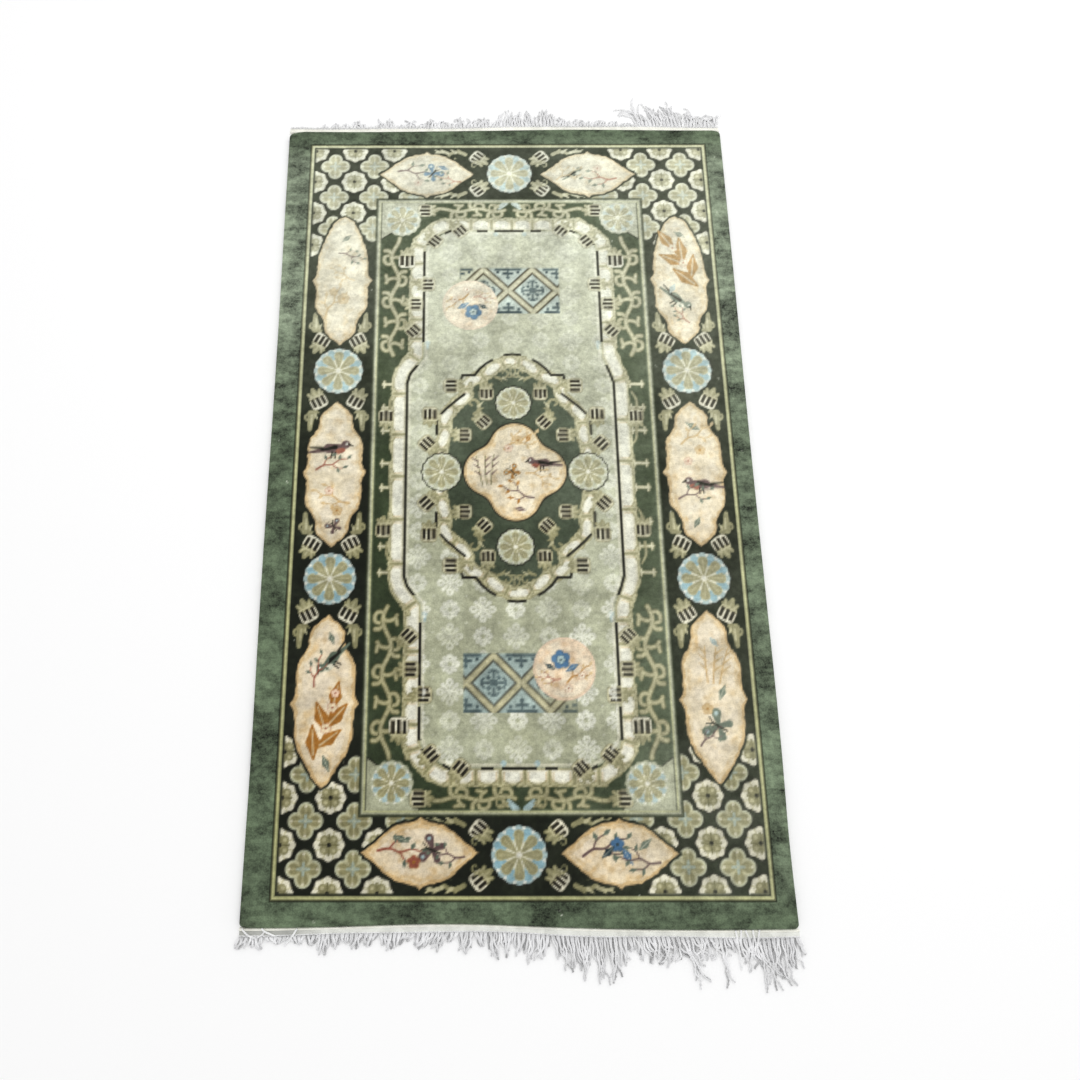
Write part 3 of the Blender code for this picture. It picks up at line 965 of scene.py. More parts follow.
@dataclass(frozen=True)
class FretBlock:
    """A block of blue diamond fret, partly under a round picture."""

    half_width: float = 99.0
    half_height: float = 51.5
    diamond: float = 48.0
    first: float = 46.0
    bare_to: float = 30.0
    depth: float = 0.9

    def draw(self, chart: Chart, place: Place) -> None:
        """Knots the block about its middle."""
        p = chart.patch(place, self.half_width + 10)
        block = bar(p.u, p.v, self.half_width, self.half_height)
        p.carve(block, 2.4, 0.6)
        p.keep_within(block)
        p.fill(block, Yarn.SAGE)
        bared = np.clip((p.u + 2 * self.bare_to + 14 * patchy(p.u, p.v, 16.0, 45)) / self.bare_to, 0, 1)
        p.fill(block, Yarn.LIGHT_BLUE, 0.8 * bared)
        pitch = 2 * self.diamond + 2
        across = np.mod(p.u - self.first + pitch / 2, pitch) - pitch / 2
        square = (np.abs(across) + np.abs(p.v) - self.diamond) / math.sqrt(2)
        p.fill(np.maximum(self.star(across, p.v), square + 8), Yarn.NAVY, 0.9 * self.depth)
        edge_u = np.mod(p.u - self.first, pitch) - pitch / 2
        steps = self.steps(edge_u, self.half_height - np.abs(p.v))
        p.fill(np.maximum(steps, -square + 7), Yarn.NAVY, self.depth)
        p.line(square, 17.0, Yarn.BAR_BROWN, self.depth)
        p.line(square, 9.0, Yarn.LIGHT_KHAKI)
        p.line(square, 3.0, Yarn.CREAM, 0.3)

    def star(self, u: np.ndarray, v: np.ndarray) -> np.ndarray:
        """Distance to the stepped star inside a diamond."""
        su, sv = spokes(u, v, 4)
        du, dv = spokes(u, v, 4, 45)
        return np.minimum.reduce([
            bar(su, sv - 15, 2.4, 8), bar(su, sv - 21, 5.5, 2.6), bar(u, v, 6.4, 6.4),
            bar(du, dv - 13, 3.4, 3.4), bar(np.abs(du) - 7.5, dv - 18, 2.2, 2.2),
        ])

    def steps(self, u: np.ndarray, v: np.ndarray) -> np.ndarray:
        """Distance to the stepped figure between two diamonds, v counted from the block's edge."""
        return np.minimum.reduce([
            bar(u, v - 11, 2.4, 9), bar(u, v - 3.2, 27, 3.0), bar(u, v - 13, 11, 3.0),
            bar(np.abs(u) - 20, v - 10, 3, 3), disc(u, v - 22, 3.6),
        ])


@dataclass(frozen=True)
class FieldDisc:
    """A round peach ground on the open field, with a blue flower on it."""

    radius: float = 55.0

    def draw(self, chart: Chart, place: Place) -> None:
        """Knots the round picture at a place."""
        p = chart.patch(place, self.radius + 8)
        edge = disc(p.u, p.v, self.radius)
        p.carve(edge - 1.0)
        stain = patchy(p.u, p.v, 15.0, 8) + 0.6 * patchy(p.u, p.v, 7.0, 18)
        p.layers(
            edge,
            (0, Yarn.SALMON),
            (2.5, Yarn.PEACH_CREAM, 0.6),
            (6.0, Yarn.PEACH_PALE, np.clip(0.35 + 0.6 * stain, 0, 0.8)),
            (6.0, Yarn.SALMON, np.clip(0.1 - 0.6 * stain, 0, 0.6)),
            (9.0, Yarn.PEACH_SHADE, np.clip(-0.55 * stain - 0.1, 0, 0.55)),
        )
        pale = Blossom(6.0, Yarn.PEACH_PALE)
        draw_marks(chart, place, (
            Mark(Twig(Yarn.GOLD_BROWN, Yarn.TAN_RIM), 4, -24, 28, 0.9),
            Mark(Twig(Yarn.RED_BROWN, Yarn.TAN_RIM), -8, -18, 165, 0.7),
            Mark(Blossom(16.0, Yarn.MID_BLUE, Yarn.NAVY), -6, 16, 10),
            Mark(Leaf(Yarn.MID_BLUE), 14, 2, -60, 1.1), Mark(Leaf(Yarn.NAVY), -26, 4, 60, 0.9),
            Mark(Blossom(7.0, Yarn.LIGHT_BLUE, Yarn.NAVY), -6, 16, 46),
            Mark(pale, 30, -12), Mark(pale, 6, -34),
        ))


@dataclass(frozen=True)
class FieldFlowers:
    """The pale snowflakes and stars that are strewn in turn over the open field."""

    pitch_x: float = 59.0
    pitch_y: float = 48.5
    origin: Point = (4.0, -9.0)
    near_share: float = 0.82
    far_share: float = 0.30
    fade_from: float = -450.0
    fade_run: float = 850.0

    def draw(self, chart: Chart, field_edge: np.ndarray) -> None:
        """Knots the flowers inside the field.

        Args:
            chart: The rug's design.
            field_edge: The distance to the field's edge, for each knot.
        """
        p = chart.whole()
        p.keep_within(field_edge + 5)
        column = np.round((p.u - self.origin[0]) / self.pitch_x)
        row = np.round((p.v - self.origin[1]) / self.pitch_y)
        across = p.u - self.origin[0] - column * self.pitch_x
        along = p.v - self.origin[1] - row * self.pitch_y
        fade = ramp(p.v, self.fade_from, self.fade_run)
        share = self.near_share + (self.far_share - self.near_share) * fade
        share = share * np.clip(0.85 + 0.45 * patchy(p.u, p.v, 60.0, 9), 0, 1)
        snowy = (column + row) % 2 == 0
        flower = np.where(snowy, self.snowflake(across, along), self.star(across, along))
        p.fill(flower, Yarn.WHITE, share)
        dots = disc(np.abs(across) - self.pitch_x / 2, np.abs(along) - self.pitch_y / 2, 2.0)
        p.fill(dots, Yarn.WHITE, 0.6 * share)

    def snowflake(self, u: np.ndarray, v: np.ndarray) -> np.ndarray:
        """Distance to a flake of four looped arms and four slanting leaves."""
        su, sv = spokes(u, v, 4)
        arm = stroke(su, sv, ((0, 0), (0, 12)), 4.0, 4.6)
        loop = np.abs(disc(su * 1.1, sv - 16.5, 4.8)) - 2.8
        du, dv = spokes(u, v, 4, 45)
        leaf = stroke(du, dv, ((0, 2), (0, 17)), 3.0, 8.0)
        return np.minimum(np.minimum(arm, loop), leaf)

    def star(self, u: np.ndarray, v: np.ndarray) -> np.ndarray:
        """Distance to a star of four round petals and four small ones."""
        su, sv = spokes(u, v, 4)
        du, dv = spokes(u, v, 4, 45)
        petal = np.maximum(disc(su, sv - 11.0, 6.8), -disc(su, sv - 9.5, 1.5))
        return np.minimum(petal, stroke(du, dv, ((0, 5), (0, 14)), 2.6, 7.0))


@dataclass(frozen=True)
class RibbonRun:
    """A cream ribbon through given points, held at intervals by khaki leaves."""

    width: float = 21.0
    tie_every: float = 84.0
    dense_from: float = 470.0
    both_ways: bool = False

    def draw(self, p: Patch, points: Points, first_tie: float = 30.0) -> None:
        """Knots the ribbon.

        Args:
            p: The patch to draw on.
            points: The ribbon's middle line.
            first_tie: Where along it the first tie stands.
        """
        edge = stroke(p.u, p.v, points, self.width, self.width)
        ragged = 2.4 * patchy(p.u, p.v, 19.0, 41) + 1.2 * patchy(p.u, p.v, 8.0, 42)
        p.fill(edge - 6.0 + ragged, Yarn.DEEP_KHAKI, 0.6)
        p.fill(edge - 4.8 + ragged, Yarn.LIGHT_KHAKI)
        p.fill(edge - 2.0 + ragged, Yarn.KHAKI, 0.3)
        p.layers(edge, (0, Yarn.CREAM), (3.4, Yarn.WHITE, 0.6))
        at, walked = first_tie, 0.0
        for (ax, ay), (bx, by) in zip(points, points[1:]):
            length = math.hypot(bx - ax, by - ay)
            while length and at <= walked + length:
                t = (at - walked) / length
                turn = math.degrees(math.atan2(by - ay, bx - ax)) - 90
                self.tie(p.chart, p.place.at(ax + (bx - ax) * t, ay + (by - ay) * t, turn))
                at += self.tie_every * (0.5 if max(abs(ay), abs(by)) > self.dense_from else 1.0)
            walked += length

    def tie(self, chart: Chart, place: Place) -> None:
        """Knots the leaves across the ribbon at a place, where the ribbon runs up."""
        half = self.width / 2
        p = chart.patch(place, 40)
        leaves = p.halved() if self.both_ways else p
        for tip in ((half + 3, 11), (half + 3, -11)):
            leaves.trace(((half - 2, 0), tip), 11.0, 8.5, Yarn.KHAKI)
            leaves.trace(((half - 2, 0), tip), 5.0, 4.0, Yarn.LIGHT_KHAKI)
        p.trace(((-half, 0), (half + 1, 0)), 7.0, 11.0, Yarn.LIGHT_KHAKI)
        p.trace(((-half, 0), (half + 1, 0)), 2.6, 5.0, Yarn.KHAKI)
        p.fill(bar(p.u, np.abs(p.v) - 6.4, half - 3, 1.4), Yarn.TAN_RIM, 0.5)


@dataclass(frozen=True)
class Vine:
    """A wavy khaki vine along a straight run, with shoots that curl on each bend."""

    length: float
    wave: float = 96.0
    swing: float = 8.0
    width: float = 7.0
    step: float = 7.0

    def draw(self, chart: Chart, place: Place) -> None:
        """Knots the vine, which grows up from a place."""
        p = chart.patch(place, self.length + 30)
        steps = int(self.length / self.step)
        rises = [self.length * k / steps for k in range(steps + 1)]
        shapes = [stroke(p.u, p.v, [(self.bend(y), y) for y in rises], self.width, self.width)]
        for index in range(int(2 * self.length / self.wave)):
            side = p.u if index % 2 == 0 else -p.u
            for points, taper in self.shoots((index + 0.5) * self.wave / 2):
                shapes.append(stroke(side, p.v, points, self.width, taper * self.width))
        vine = np.minimum.reduce(shapes)
        p.layers(vine, (-1.6, Yarn.DEEP_KHAKI, 0.6), (0, Yarn.KHAKI), (1.1, Yarn.LIGHT_KHAKI, 0.75))

    def shoots(self, y: float) -> list[tuple[Points, float]]:
        """The shoots of the bend at a height, each with its taper: a hook, a shoot, an arm and its leaf."""
        out = self.swing
        hook = ((out - 1, y - 13), (out + 8, y - 14), (out + 14, y - 7), (out + 13, y + 3), (out + 6, y + 6))
        shoot = ((out - 2, y + 8), (out + 5, y + 16), (out + 13, y + 17))
        arm = ((out, y - 2), (0, y + 2), (-out - 4, y - 1), (-out - 9, y - 8))
        leaf = ((-out - 8, y - 1), (-out - 10, y + 9))
        return [(smooth(hook), 0.9), (smooth(shoot), 1.1), (smooth(arm), 0.9), (leaf, 0.8)]

    def bend(self, rise: float) -> float:
        """How far to the right the stem stands at a height."""
        return self.swing * math.sin(math.tau * rise / self.wave)


@dataclass(frozen=True)
class Rung:
    """A short pale bar from the ribbon to the border's edge, with flared ends."""

    reach: float = 27.0
    width: float = 5.5

    def draw(self, chart: Chart, place: Place) -> None:
        """Knots the bar, which runs to the right from a place."""
        p = chart.patch(place, self.reach + 10)
        shape = stroke(p.u, p.v, ((0, 0), (self.reach, 0)), self.width, self.width)
        for end in (2.0, self.reach - 2.0):
            flare = stroke(p.u, np.abs(p.v), ((end, 0), (end, 6.0)), self.width, 0.7 * self.width)
            shape = np.minimum(shape, flare)
        p.layers(shape, (-1.4, Yarn.DEEP_KHAKI, 0.5), (0, Yarn.LIGHT_KHAKI), (1.6, Yarn.CREAM, 0.5))


@dataclass(frozen=True)
class InnerBorder:
    """The green border round the field, its ribbon, vines and sage corners."""

    wide_half: float = 200.0
    wide_middle: float = 2.0
    narrow_half: float = 175.0
    narrow_middle: float = 8.0
    far_line: float = 529.0
    near_line: float = -525.0
    ribbon_offset: float = 13.6
    corner_wheels: tuple[Point, ...] = ((-213.0, 555.0), (229.0, 560.0), (-213.0, -549.0), (222.0, -550.0))
    corner: tuple[Point, ...] = (
        (262, 598), (262, 510), (248, 520), (212, 548), (186, 574), (174, 592), (174, 598),
    )
    side_gaps: tuple[Point, ...] = ((228, 276), (388, 424), (480, 494))
    end_gaps: tuple[tuple[float, float, float], ...] = ((515, 30, 44), (515, 66, 118), (500, 132, 166))

    def quarter(self, out: float) -> list[tuple[float, float, float]]:
        """The field's line from the middle of a side to the middle of an end.

        Args:
            out: How far outside the field's own line to run.

        Returns:
            For each point the half width, the middle it counts from, and the height.
        """
        wide, narrow = self.wide_half + out, self.narrow_half + out
        turn = 0.45 * out
        return [
            (wide, self.wide_middle, 0.0), (wide, self.wide_middle, 190 + turn),
            (wide - 6, self.wide_middle, 210 + turn), (narrow + 10, 5.0, 226 + turn),
            (narrow, self.narrow_middle, 244 + turn), (narrow, self.narrow_middle, 478 + turn),
            (narrow - 5, self.narrow_middle, 494 + 1.2 * turn),
            (narrow - 18, self.narrow_middle, 506 + 0.75 * out),
            (narrow - 36, self.narrow_middle, 520 + 0.9 * out),
            (narrow - 52, self.narrow_middle, 528 + out), (0.0, 6.0, 528 + out),
        ]

    def line_points(self, out: float) -> list[Point]:
        """The field's closed line, or one that runs outside it."""
        quarter = self.quarter(out)
        far, near = self.far_line / 528, -self.near_line / 528
        right_far = [(mid + half, y * far) for half, mid, y in quarter]
        left_far = [(mid - half, y * far) for half, mid, y in reversed(quarter[:-1])]
        left_near = [(mid - half, -y * near) for half, mid, y in quarter[1:]]
        right_near = [(mid + half, -y * near) for half, mid, y in reversed(quarter[1:-1])]
        return [*right_far, *left_far, *left_near, *right_near]

    def draw(self, chart: Chart) -> np.ndarray:
        """Knots the inner border and the field's ground.

        Args:
            chart: The rug's design.

        Returns:
            The distance to the field's edge, for each knot.
        """
        p = chart.whole()
        inner = INNER_FRAME.distance(p.u, p.v)
        p.fill(inner, Yarn.INNER_GREEN)
        p.keep_within(inner)
        self.draw_vines(chart)
        self.draw_corners(chart)
        edge = polygon(p.u, p.v, self.line_points(0.0))
        ribbon = self.line_points(self.ribbon_offset)
        RibbonRun().draw(p, [*ribbon, ribbon[0]])
        p.fill(edge, Yarn.SAGE)
        pale = patchy(p.u, p.v, 60.0, 3) + 0.6 * patchy(p.u, p.v, 24.0, 4)
        p.fill(edge, Yarn.PALE_SAGE, np.clip(0.35 + 0.5 * pale, 0, 0.9))
        p.line(edge + 5.5, 5.0, Yarn.CREAM, 0.6)
        self.draw_black_line(p, edge)
        self.draw_heads(chart)
        for x, y in self.corner_wheels:
            Wheel(35.0, Yarn.PALE_SAGE, Yarn.LIGHT_BLUE, Yarn.SAGE).draw(chart, Place(x, y))
        p.line(inner + 6.2, 8.4, Yarn.SAGE)
        p.line(inner + 8.8, 2.0, Yarn.GUARD)
        p.line(inner + 1.0, 3.6, Yarn.GROUND_DARK)
        p.carve(inner, 2.4, 0.9)
        p.carve(inner + 11.0, 2.4, 0.7)
        p.carve(edge, 2.6, 0.6)
        return edge

    def draw_black_line(self, p: Patch, edge: np.ndarray) -> None:
        """Knots the broken dark line round the field."""
        x, y = np.abs(p.u - 6), np.abs(p.v - 2)
        gaps = np.zeros(x.shape, bool)
        for low, high in self.side_gaps:
            gaps |= (y > low) & (y < high)
        for beyond, low, high in self.end_gaps:
            gaps |= (y > beyond) & (x > low) & (x < high)
        p.fill(np.where(gaps, OUTSIDE, np.abs(edge) - 2.6), Yarn.LINE_BLACK)

    def draw_heads(self, chart: Chart) -> None:
        """Knots the leaf heads that break the dark line, and the pale blue buds."""
        head, small = CombLeaf(33, 30, 13), CombLeaf(29, 26, 12, Yarn.LIGHT_KHAKI)
        heads = (
            Mark(small, 166, 404, 90), Mark(small, 153, 503, 130), Mark(small, 102, 526, 140),
            Mark(small, 190, 360, 90), Mark(small, 194, 300, 135), Mark(head, 210, 457, 180),
            Mark(small, 176, 576, -90),
        )
        for (side, up), base, beside in zip(QUARTERS, four_ways(8.0, 2.0), four_ways(2.0, 9.0)):
            draw_marks(chart, base, heads)
            small.draw(chart, beside.at(239, 114))
            Streak(((0, -7), (0, 7)), 3, 9).draw(chart, Place(8.0 + side * 167, 2.0 + up * 268))
            chart.patch(Place(7.0 + side * 29, 2.0 + up * 519), 14).dot(0, 0, 5.0, Yarn.LIGHT_BLUE)

    def draw_corners(self, chart: Chart) -> None:
        """Knots the sage ground of the four corners."""
        for side, up in QUARTERS:
            p = chart.patch(Place(6.5 + side * 215, 1.5 + up * 555), 90)
            x, y = side * (p.u + side * 215), up * (p.v + up * 555)
            edge = polygon(x, y, self.corner)
            p.layers(edge, (-2.2, Yarn.LINE_BLACK, 0.8), (0, Yarn.SAGE), (7.0, Yarn.PALE_SAGE, 0.4))

    def draw_vines(self, chart: Chart) -> None:
        """Knots the vines over the green ground."""
        vines = (
            Mark(Vine(262.0), 233, 248),
            *[Mark(Rung(), 224, y) for y in (24, 90, 137, 186)],
            Mark(Scroll(((0, 0), (1, 22), (-8, 40))), 236, 130),
            Mark(Scroll(((0, 0), (-2, -18), (-8, -28))), 234, 92),
            Mark(Vine(150.0, 82.0, 4.0), 10, 576, -90, 0.92),
            Mark(Streak(((-5, 5), (7, -7)), 12, 8), 14, 588),
            Mark(Scroll(((0, 0), (8, 6), (17, 3), (16, -6), (8, -7)), 5.5), 24, 583),
        )
        for base in four_ways(7.0, 2.0):
            draw_marks(chart, base, vines)


@dataclass(frozen=True)
class CentreMedallion:
    """The medallion in the middle of the field."""

    middle: Point = (7.0, 7.0)
    ribbon: tuple[Point, ...] = (
        (0, 229), (16, 227), (34, 218), (48, 206), (62, 197), (80, 189), (92, 176), (90, 160), (98, 148),
        (114, 134), (130, 116), (132, 98), (131, 78), (136, 60), (140, 40), (140, 0),
    )
    outline_runs: tuple[tuple[Point, ...], ...] = (
        ((-15, 243), (0, 245), (15, 243)),
        ((40, 232), (50, 226), (64, 214), (74, 200), (98, 200), (100, 190)),
        ((94, 160), (104, 152), (126, 133), (138, 120)),
        ((147, 104), (147, 78)),
    )
    sprays: tuple[Mark, ...] = (
        Mark(Spray(8.0), 72, 118, 20, 0.9), Mark(Spray(), 34, 196, 100, 0.75),
        Mark(Spray(), 104, 66, -20, 0.8), Mark(Spray(6.0), 8, 196, 60, 0.6),
    )

    def draw(self, chart: Chart) -> None:
        """Knots the medallion."""
        place = Place(*self.middle)
        p = chart.patch(place, 262)
        line = mirrored(self.ribbon)
        edge = polygon(p.u, p.v, line)
        p.layers(edge, (-15.5, Yarn.CREAM, 0.5), (-12.0, Yarn.LIGHT_KHAKI), (0, Yarn.MEDALLION_GREEN))
        quarters = four_ways(*self.middle)[::-1]
        for base in quarters:
            draw_marks(chart, base, self.sprays)
        RibbonRun(16.0, 47.0, both_ways=True).draw(p, [*line, line[0]], 12.0)
        for run in self.outline_runs:
            p.fill(stroke(np.abs(p.u), np.abs(p.v), run, 5.0, 5.0), Yarn.LINE_BLACK)
        for base in quarters:
            draw_marks(chart, base, self.heads())
        small, large = (Wheel(radius, Yarn.PALE_SAGE, Yarn.PALE_SAGE) for radius in (33.0, 36.0))
        draw_marks(chart, place, (
            Mark(small, 0, 142), Mark(small, -1, -143), Mark(large, -137, 2), Mark(large, 138, 2),
        ))
        self.draw_heart(chart, place.at(1, 3))

    def heads(self) -> tuple[Mark, ...]:
        """The leaf heads of one quarter, inside and outside the medallion."""
        inner, outer = CombLeaf(28, 25, 12, Yarn.LIGHT_KHAKI), CombLeaf(30, 27, 11, Yarn.LIGHT_KHAKI)
        return (
            Mark(inner, 52, 160, 180), Mark(inner, 57, 102, 135), Mark(inner, 93, 76, 90),
            Mark(outer, 121, 178, -90), Mark(outer, 160, 120, 0), Mark(outer, 166, 60, -45),
        )

    def draw_heart(self, chart: Chart, place: Place) -> None:
        """Knots the peach four-lobed ground and its picture."""
        p = chart.patch(place, 112)
        lobes = [disc(p.u - u, p.v - v, 47) for u, v in ((49, 0), (0, 49), (-49, 0), (0, -49))]
        across, along = (np.minimum(lobes[k], lobes[k + 2]) for k in (0, 1))
        edge = blend_union(blend_union(across, along, 24.0), disc(p.u, p.v, 60), 8.0)
        p.carve(edge - 1.0, 3.4)
        p.fill(edge - 2.4, Yarn.LINE_BLACK)
        draw_peach_ground(p, edge, Place(40.0, 3.0))
        faint = Twig(Yarn.PEACH_SHADE, Yarn.TAN_RIM)
        draw_marks(chart, place, (
            Mark(Reeds(Yarn.DEEP_KHAKI, Yarn.PLUM_BROWN, 60), -54, -26, 4, 0.95),
            Mark(faint, -20, 44, 20, 1.2), Mark(Bird(), 46, 14, 14, 1.35, True), Mark(faint, 20, -4, -20),
            Mark(Blossom(8.0, Yarn.TAN_RIM, Yarn.GOLD_BROWN), 6, 62), Mark(Blossom(), -12, 46),
            Mark(Twig(Yarn.PLUM_BROWN, Yarn.GOLD_BROWN), 34, -52, 150, 1.1),
            Mark(Leaf(Yarn.GOLD_BROWN), 26, 66, -30, 0.9), Mark(Butterfly(Yarn.GOLD_BROWN), -4, -2, 40, 0.9),
            Mark(Leaf(Yarn.PLUM_BROWN), 8, -74, 80, 0.9),
        ))


@dataclass(frozen=True)
class OpenField:
    """The sage field with its strewn flowers, blue fret blocks and round pictures."""

    far_block: Point = (4.0, 391.5)
    near_block: Point = (9.0, -381.5)
    far_disc: Point = (-75.0, 360.0)
    near_disc: Point = (88.0, -357.0)

    def draw(self, chart: Chart, field_edge: np.ndarray) -> None:
        """Knots what lies on the field.

        Args:
            chart: The rug's design.
            field_edge: The distance to the field's edge, for each knot.
        """
        FieldFlowers().draw(chart, field_edge)
        FretBlock().draw(chart, Place(*self.far_block))
        FretBlock(depth=0.62).draw(chart, Place(*self.near_block, turn=180.0))
        FieldDisc().draw(chart, Place(*self.far_disc, turn=180.0))
        FieldDisc().draw(chart, Place(*self.near_disc))
        CentreMedallion().draw(chart)


@dataclass(frozen=True)
class RugDesign:
    """The whole design of the rug."""

    specks: int = 46
    seed: int = 5

    def draw(self, chart: Chart) -> None:
        """Knots the design from the outside in."""
        MainBorder().draw(chart)
        field_edge = InnerBorder().draw(chart)
        OpenField().draw(chart, field_edge)
        self.draw_specks(chart)

    def draw_specks(self, chart: Chart) -> None:
        """Lets a few of the foundation's white knots show where the pile is rubbed through."""
        rng = random.Random(self.seed)
        for _ in range(self.specks):
            p = chart.patch(Place(rng.uniform(-450, 450), rng.uniform(-768, 768)), 8)
            run = (rng.uniform(-2.5, 2.5), rng.uniform(-2.5, 2.5))
            p.trace(((0, 0), run), 1.4, 1.0, Yarn.WHITE, rng.uniform(0.5, 1.0))


class Value:
    """A number in a material's graph, whose arithmetic adds Math nodes."""

    def __init__(self, graph: Graph, socket: bpy.types.NodeSocket) -> None:
        """Wraps an output socket."""
        self.graph = graph
        self.socket = socket

    def math(self, operation: str, first: Value | float, second: Value | float) -> Value:
        """Adds one Math node and wraps what it gives."""
        node = self.graph.node("ShaderNodeMath", {"operation": operation}, {0: first, 1: second})
        return Value(self.graph, node.outputs[0])

    def __add__(self, other: Value | float) -> Value:
        """This plus other."""
        return self.math("ADD", self, other)

    __radd__ = __add__

    def __mul__(self, other: Value | float) -> Value:
        """This times other."""
        return self.math("MULTIPLY", self, other)

    __rmul__ = __mul__

    def __sub__(self, other: Value | float) -> Value:
        """This less other."""
        return self.math("SUBTRACT", self, other)

    def __rsub__(self, other: Value | float) -> Value:
        """Other less this."""
        return self.math("SUBTRACT", other, self)


class Graph:
    """A material's node graph."""

    def __init__(self, name: str) -> None:
        """Makes a material with an empty Principled shader."""
        self.material = bpy.data.materials.new(name)
        self.material.use_nodes = True
        self.tree = self.material.node_tree
        self.shader = next(n for n in self.tree.nodes if n.type == "BSDF_PRINCIPLED")

    def node(self, kind: str, settings: dict | None = None, values: dict | None = None) -> bpy.types.Node:
        """Adds one node.

        Args:
            kind: The node's type.
            settings: Its properties, set first; a ramp's stops are given as "stops".
            values: A number, colour, Value or socket for each input, by name or place.

        Returns:
            The node.
        """
        made = self.tree.nodes.new(kind)
        for key, value in (settings or {}).items():
            if key == "stops":
                ramp = made.color_ramp
                while len(ramp.elements) < len(value):
                    ramp.elements.new(1.0)
                for element, (at, colour) in zip(ramp.elements, value):
                    element.position = at
                    element.color = colour
            else:
                setattr(made, key, value)
        for key, value in (values or {}).items():
            self.feed(made.inputs[key], value)
        return made

    def feed(self, socket: bpy.types.NodeSocket, value: object) -> None:
        """Sets or links one input socket."""
        if isinstance(value, Value):
            value = value.socket
        if isinstance(value, bpy.types.NodeSocket):
            self.tree.links.new(value, socket)
        else:
            socket.default_value = value

    def vector(self, operation: str, values: dict) -> bpy.types.NodeSocket:
        """Adds one Vector Math node and gives its first output."""
        return self.node("ShaderNodeVectorMath", {"operation": operation}, values).outputs[0]

    def noise(
        self, place: object, scale: float, detail: float = 2.0, stretch: tuple | None = None
    ) -> Value:
        """A noise from 0 to 1 over a place, stretched by a factor along each axis."""
        if stretch:
            place = self.vector("MULTIPLY", {0: place, 1: stretch})
        values = {"Vector": place, "Scale": scale, "Detail": detail, "Roughness": 0.55}
        return Value(self, self.node("ShaderNodeTexNoise", None, values).outputs[0])

    def span(self, value: Value, low: float, high: float) -> Value:
        """A value from 0 to 1 laid between low and high, eased at both ends."""
        settings = {"interpolation_type": "SMOOTHSTEP"}
        values = {"Value": value, 1: low, 2: high, 3: 0.0, 4: 1.0}
        return Value(self, self.node("ShaderNodeMapRange", settings, values).outputs[0])

    def mix(
        self, share: Value | float, first: object, second: object, blend: str = "MIX"
    ) -> bpy.types.NodeSocket:
        """Two colours mixed."""
        settings = {"data_type": "RGBA", "blend_type": blend}
        return self.node("ShaderNodeMix", settings, {0: share, 6: first, 7: second}).outputs[2]

    def scaled(self, colour: object, factor: Value) -> bpy.types.NodeSocket:
        """A colour made lighter or darker by a factor."""
        return self.vector("SCALE", {0: colour, 3: factor})

    def bump(self, height: Value, distance: float, strength: float) -> None:
        """Feeds a height in metres times distance to the shader's normal."""
        values = {"Height": height, "Distance": distance, "Strength": strength}
        self.set("Normal", self.node("ShaderNodeBump", None, values).outputs[0])

    def set(self, name: str, value: object) -> None:
        """Sets or links one input of the shader."""
        self.feed(self.shader.inputs[name], value)

    def piece_inputs(self) -> tuple[bpy.types.NodeSocket, bpy.types.NodeSocket]:
        """Where a point lies on its piece, and the colour of its yarn."""
        place = self.node("ShaderNodeTexCoord").outputs["Object"]
        return place, self.node("ShaderNodeAttribute", {"attribute_name": "yarn"}).outputs["Color"]


@dataclass(frozen=True)
class SilkPile:
    """Clipped silk pile: brushed patches painted lighter and darker as the nap's sheen, a fine knot grain and a
    soft sheen.
    """

    # How far the brushed patches, a painted sheen of the nap, and the knot rows lighten and darken the yarn.
    nap: float = 0.16
    grain: float = 0.17
    roughness: float = 0.62
    sheen: float = 0.07
    sheen_roughness: float = 0.45
    specular: float = 0.14
    bump: float = 0.5
    bump_height: float = 0.0007

    def make(self, name: str) -> bpy.types.Material:
        """Makes the finish under a name."""
        g = Graph(name)
        place, yarn = g.piece_inputs()
        broad = g.noise(place, 9.0, 2.0, (1.0, 0.8, 1.0))
        patch = g.noise(place, 34.0, 3.0, (0.8, 1.25, 1.0))
        speck = g.noise(place, 130.0, 2.0)
        tuft = g.noise(place, 420.0, 1.0)
        brushed = g.span(patch * 0.55 + broad * 0.45, 0.34, 0.66)
        # Partly painted sheen: the brushed patches light and darken the yarn as the nap would catch light. The
        # specks, tufts and rows are the knots' own grain.
        shade = 1 + (brushed - 0.5) * (2 * self.nap) + (g.span(speck, 0.3, 0.7) - 0.5) * self.grain
        rows = g.noise(place, 70.0, 2.0, (0.35, 3.2, 1.0))
        shade = shade + (g.span(tuft, 0.3, 0.7) - 0.5) * (0.8 * self.grain) + (rows - 0.5) * (1.1 * self.nap)
        g.set("Base Color", g.scaled(yarn, shade))
        g.set("Roughness", self.roughness + (0.5 - brushed) * 0.16)
        g.bump(speck * 0.35 + tuft * 0.65, self.bump_height, self.bump)
        g.set("Sheen Weight", self.sheen)
        g.set("Sheen Roughness", self.sheen_roughness)
        g.set("Specular IOR Level", self.specular)
        return g.material


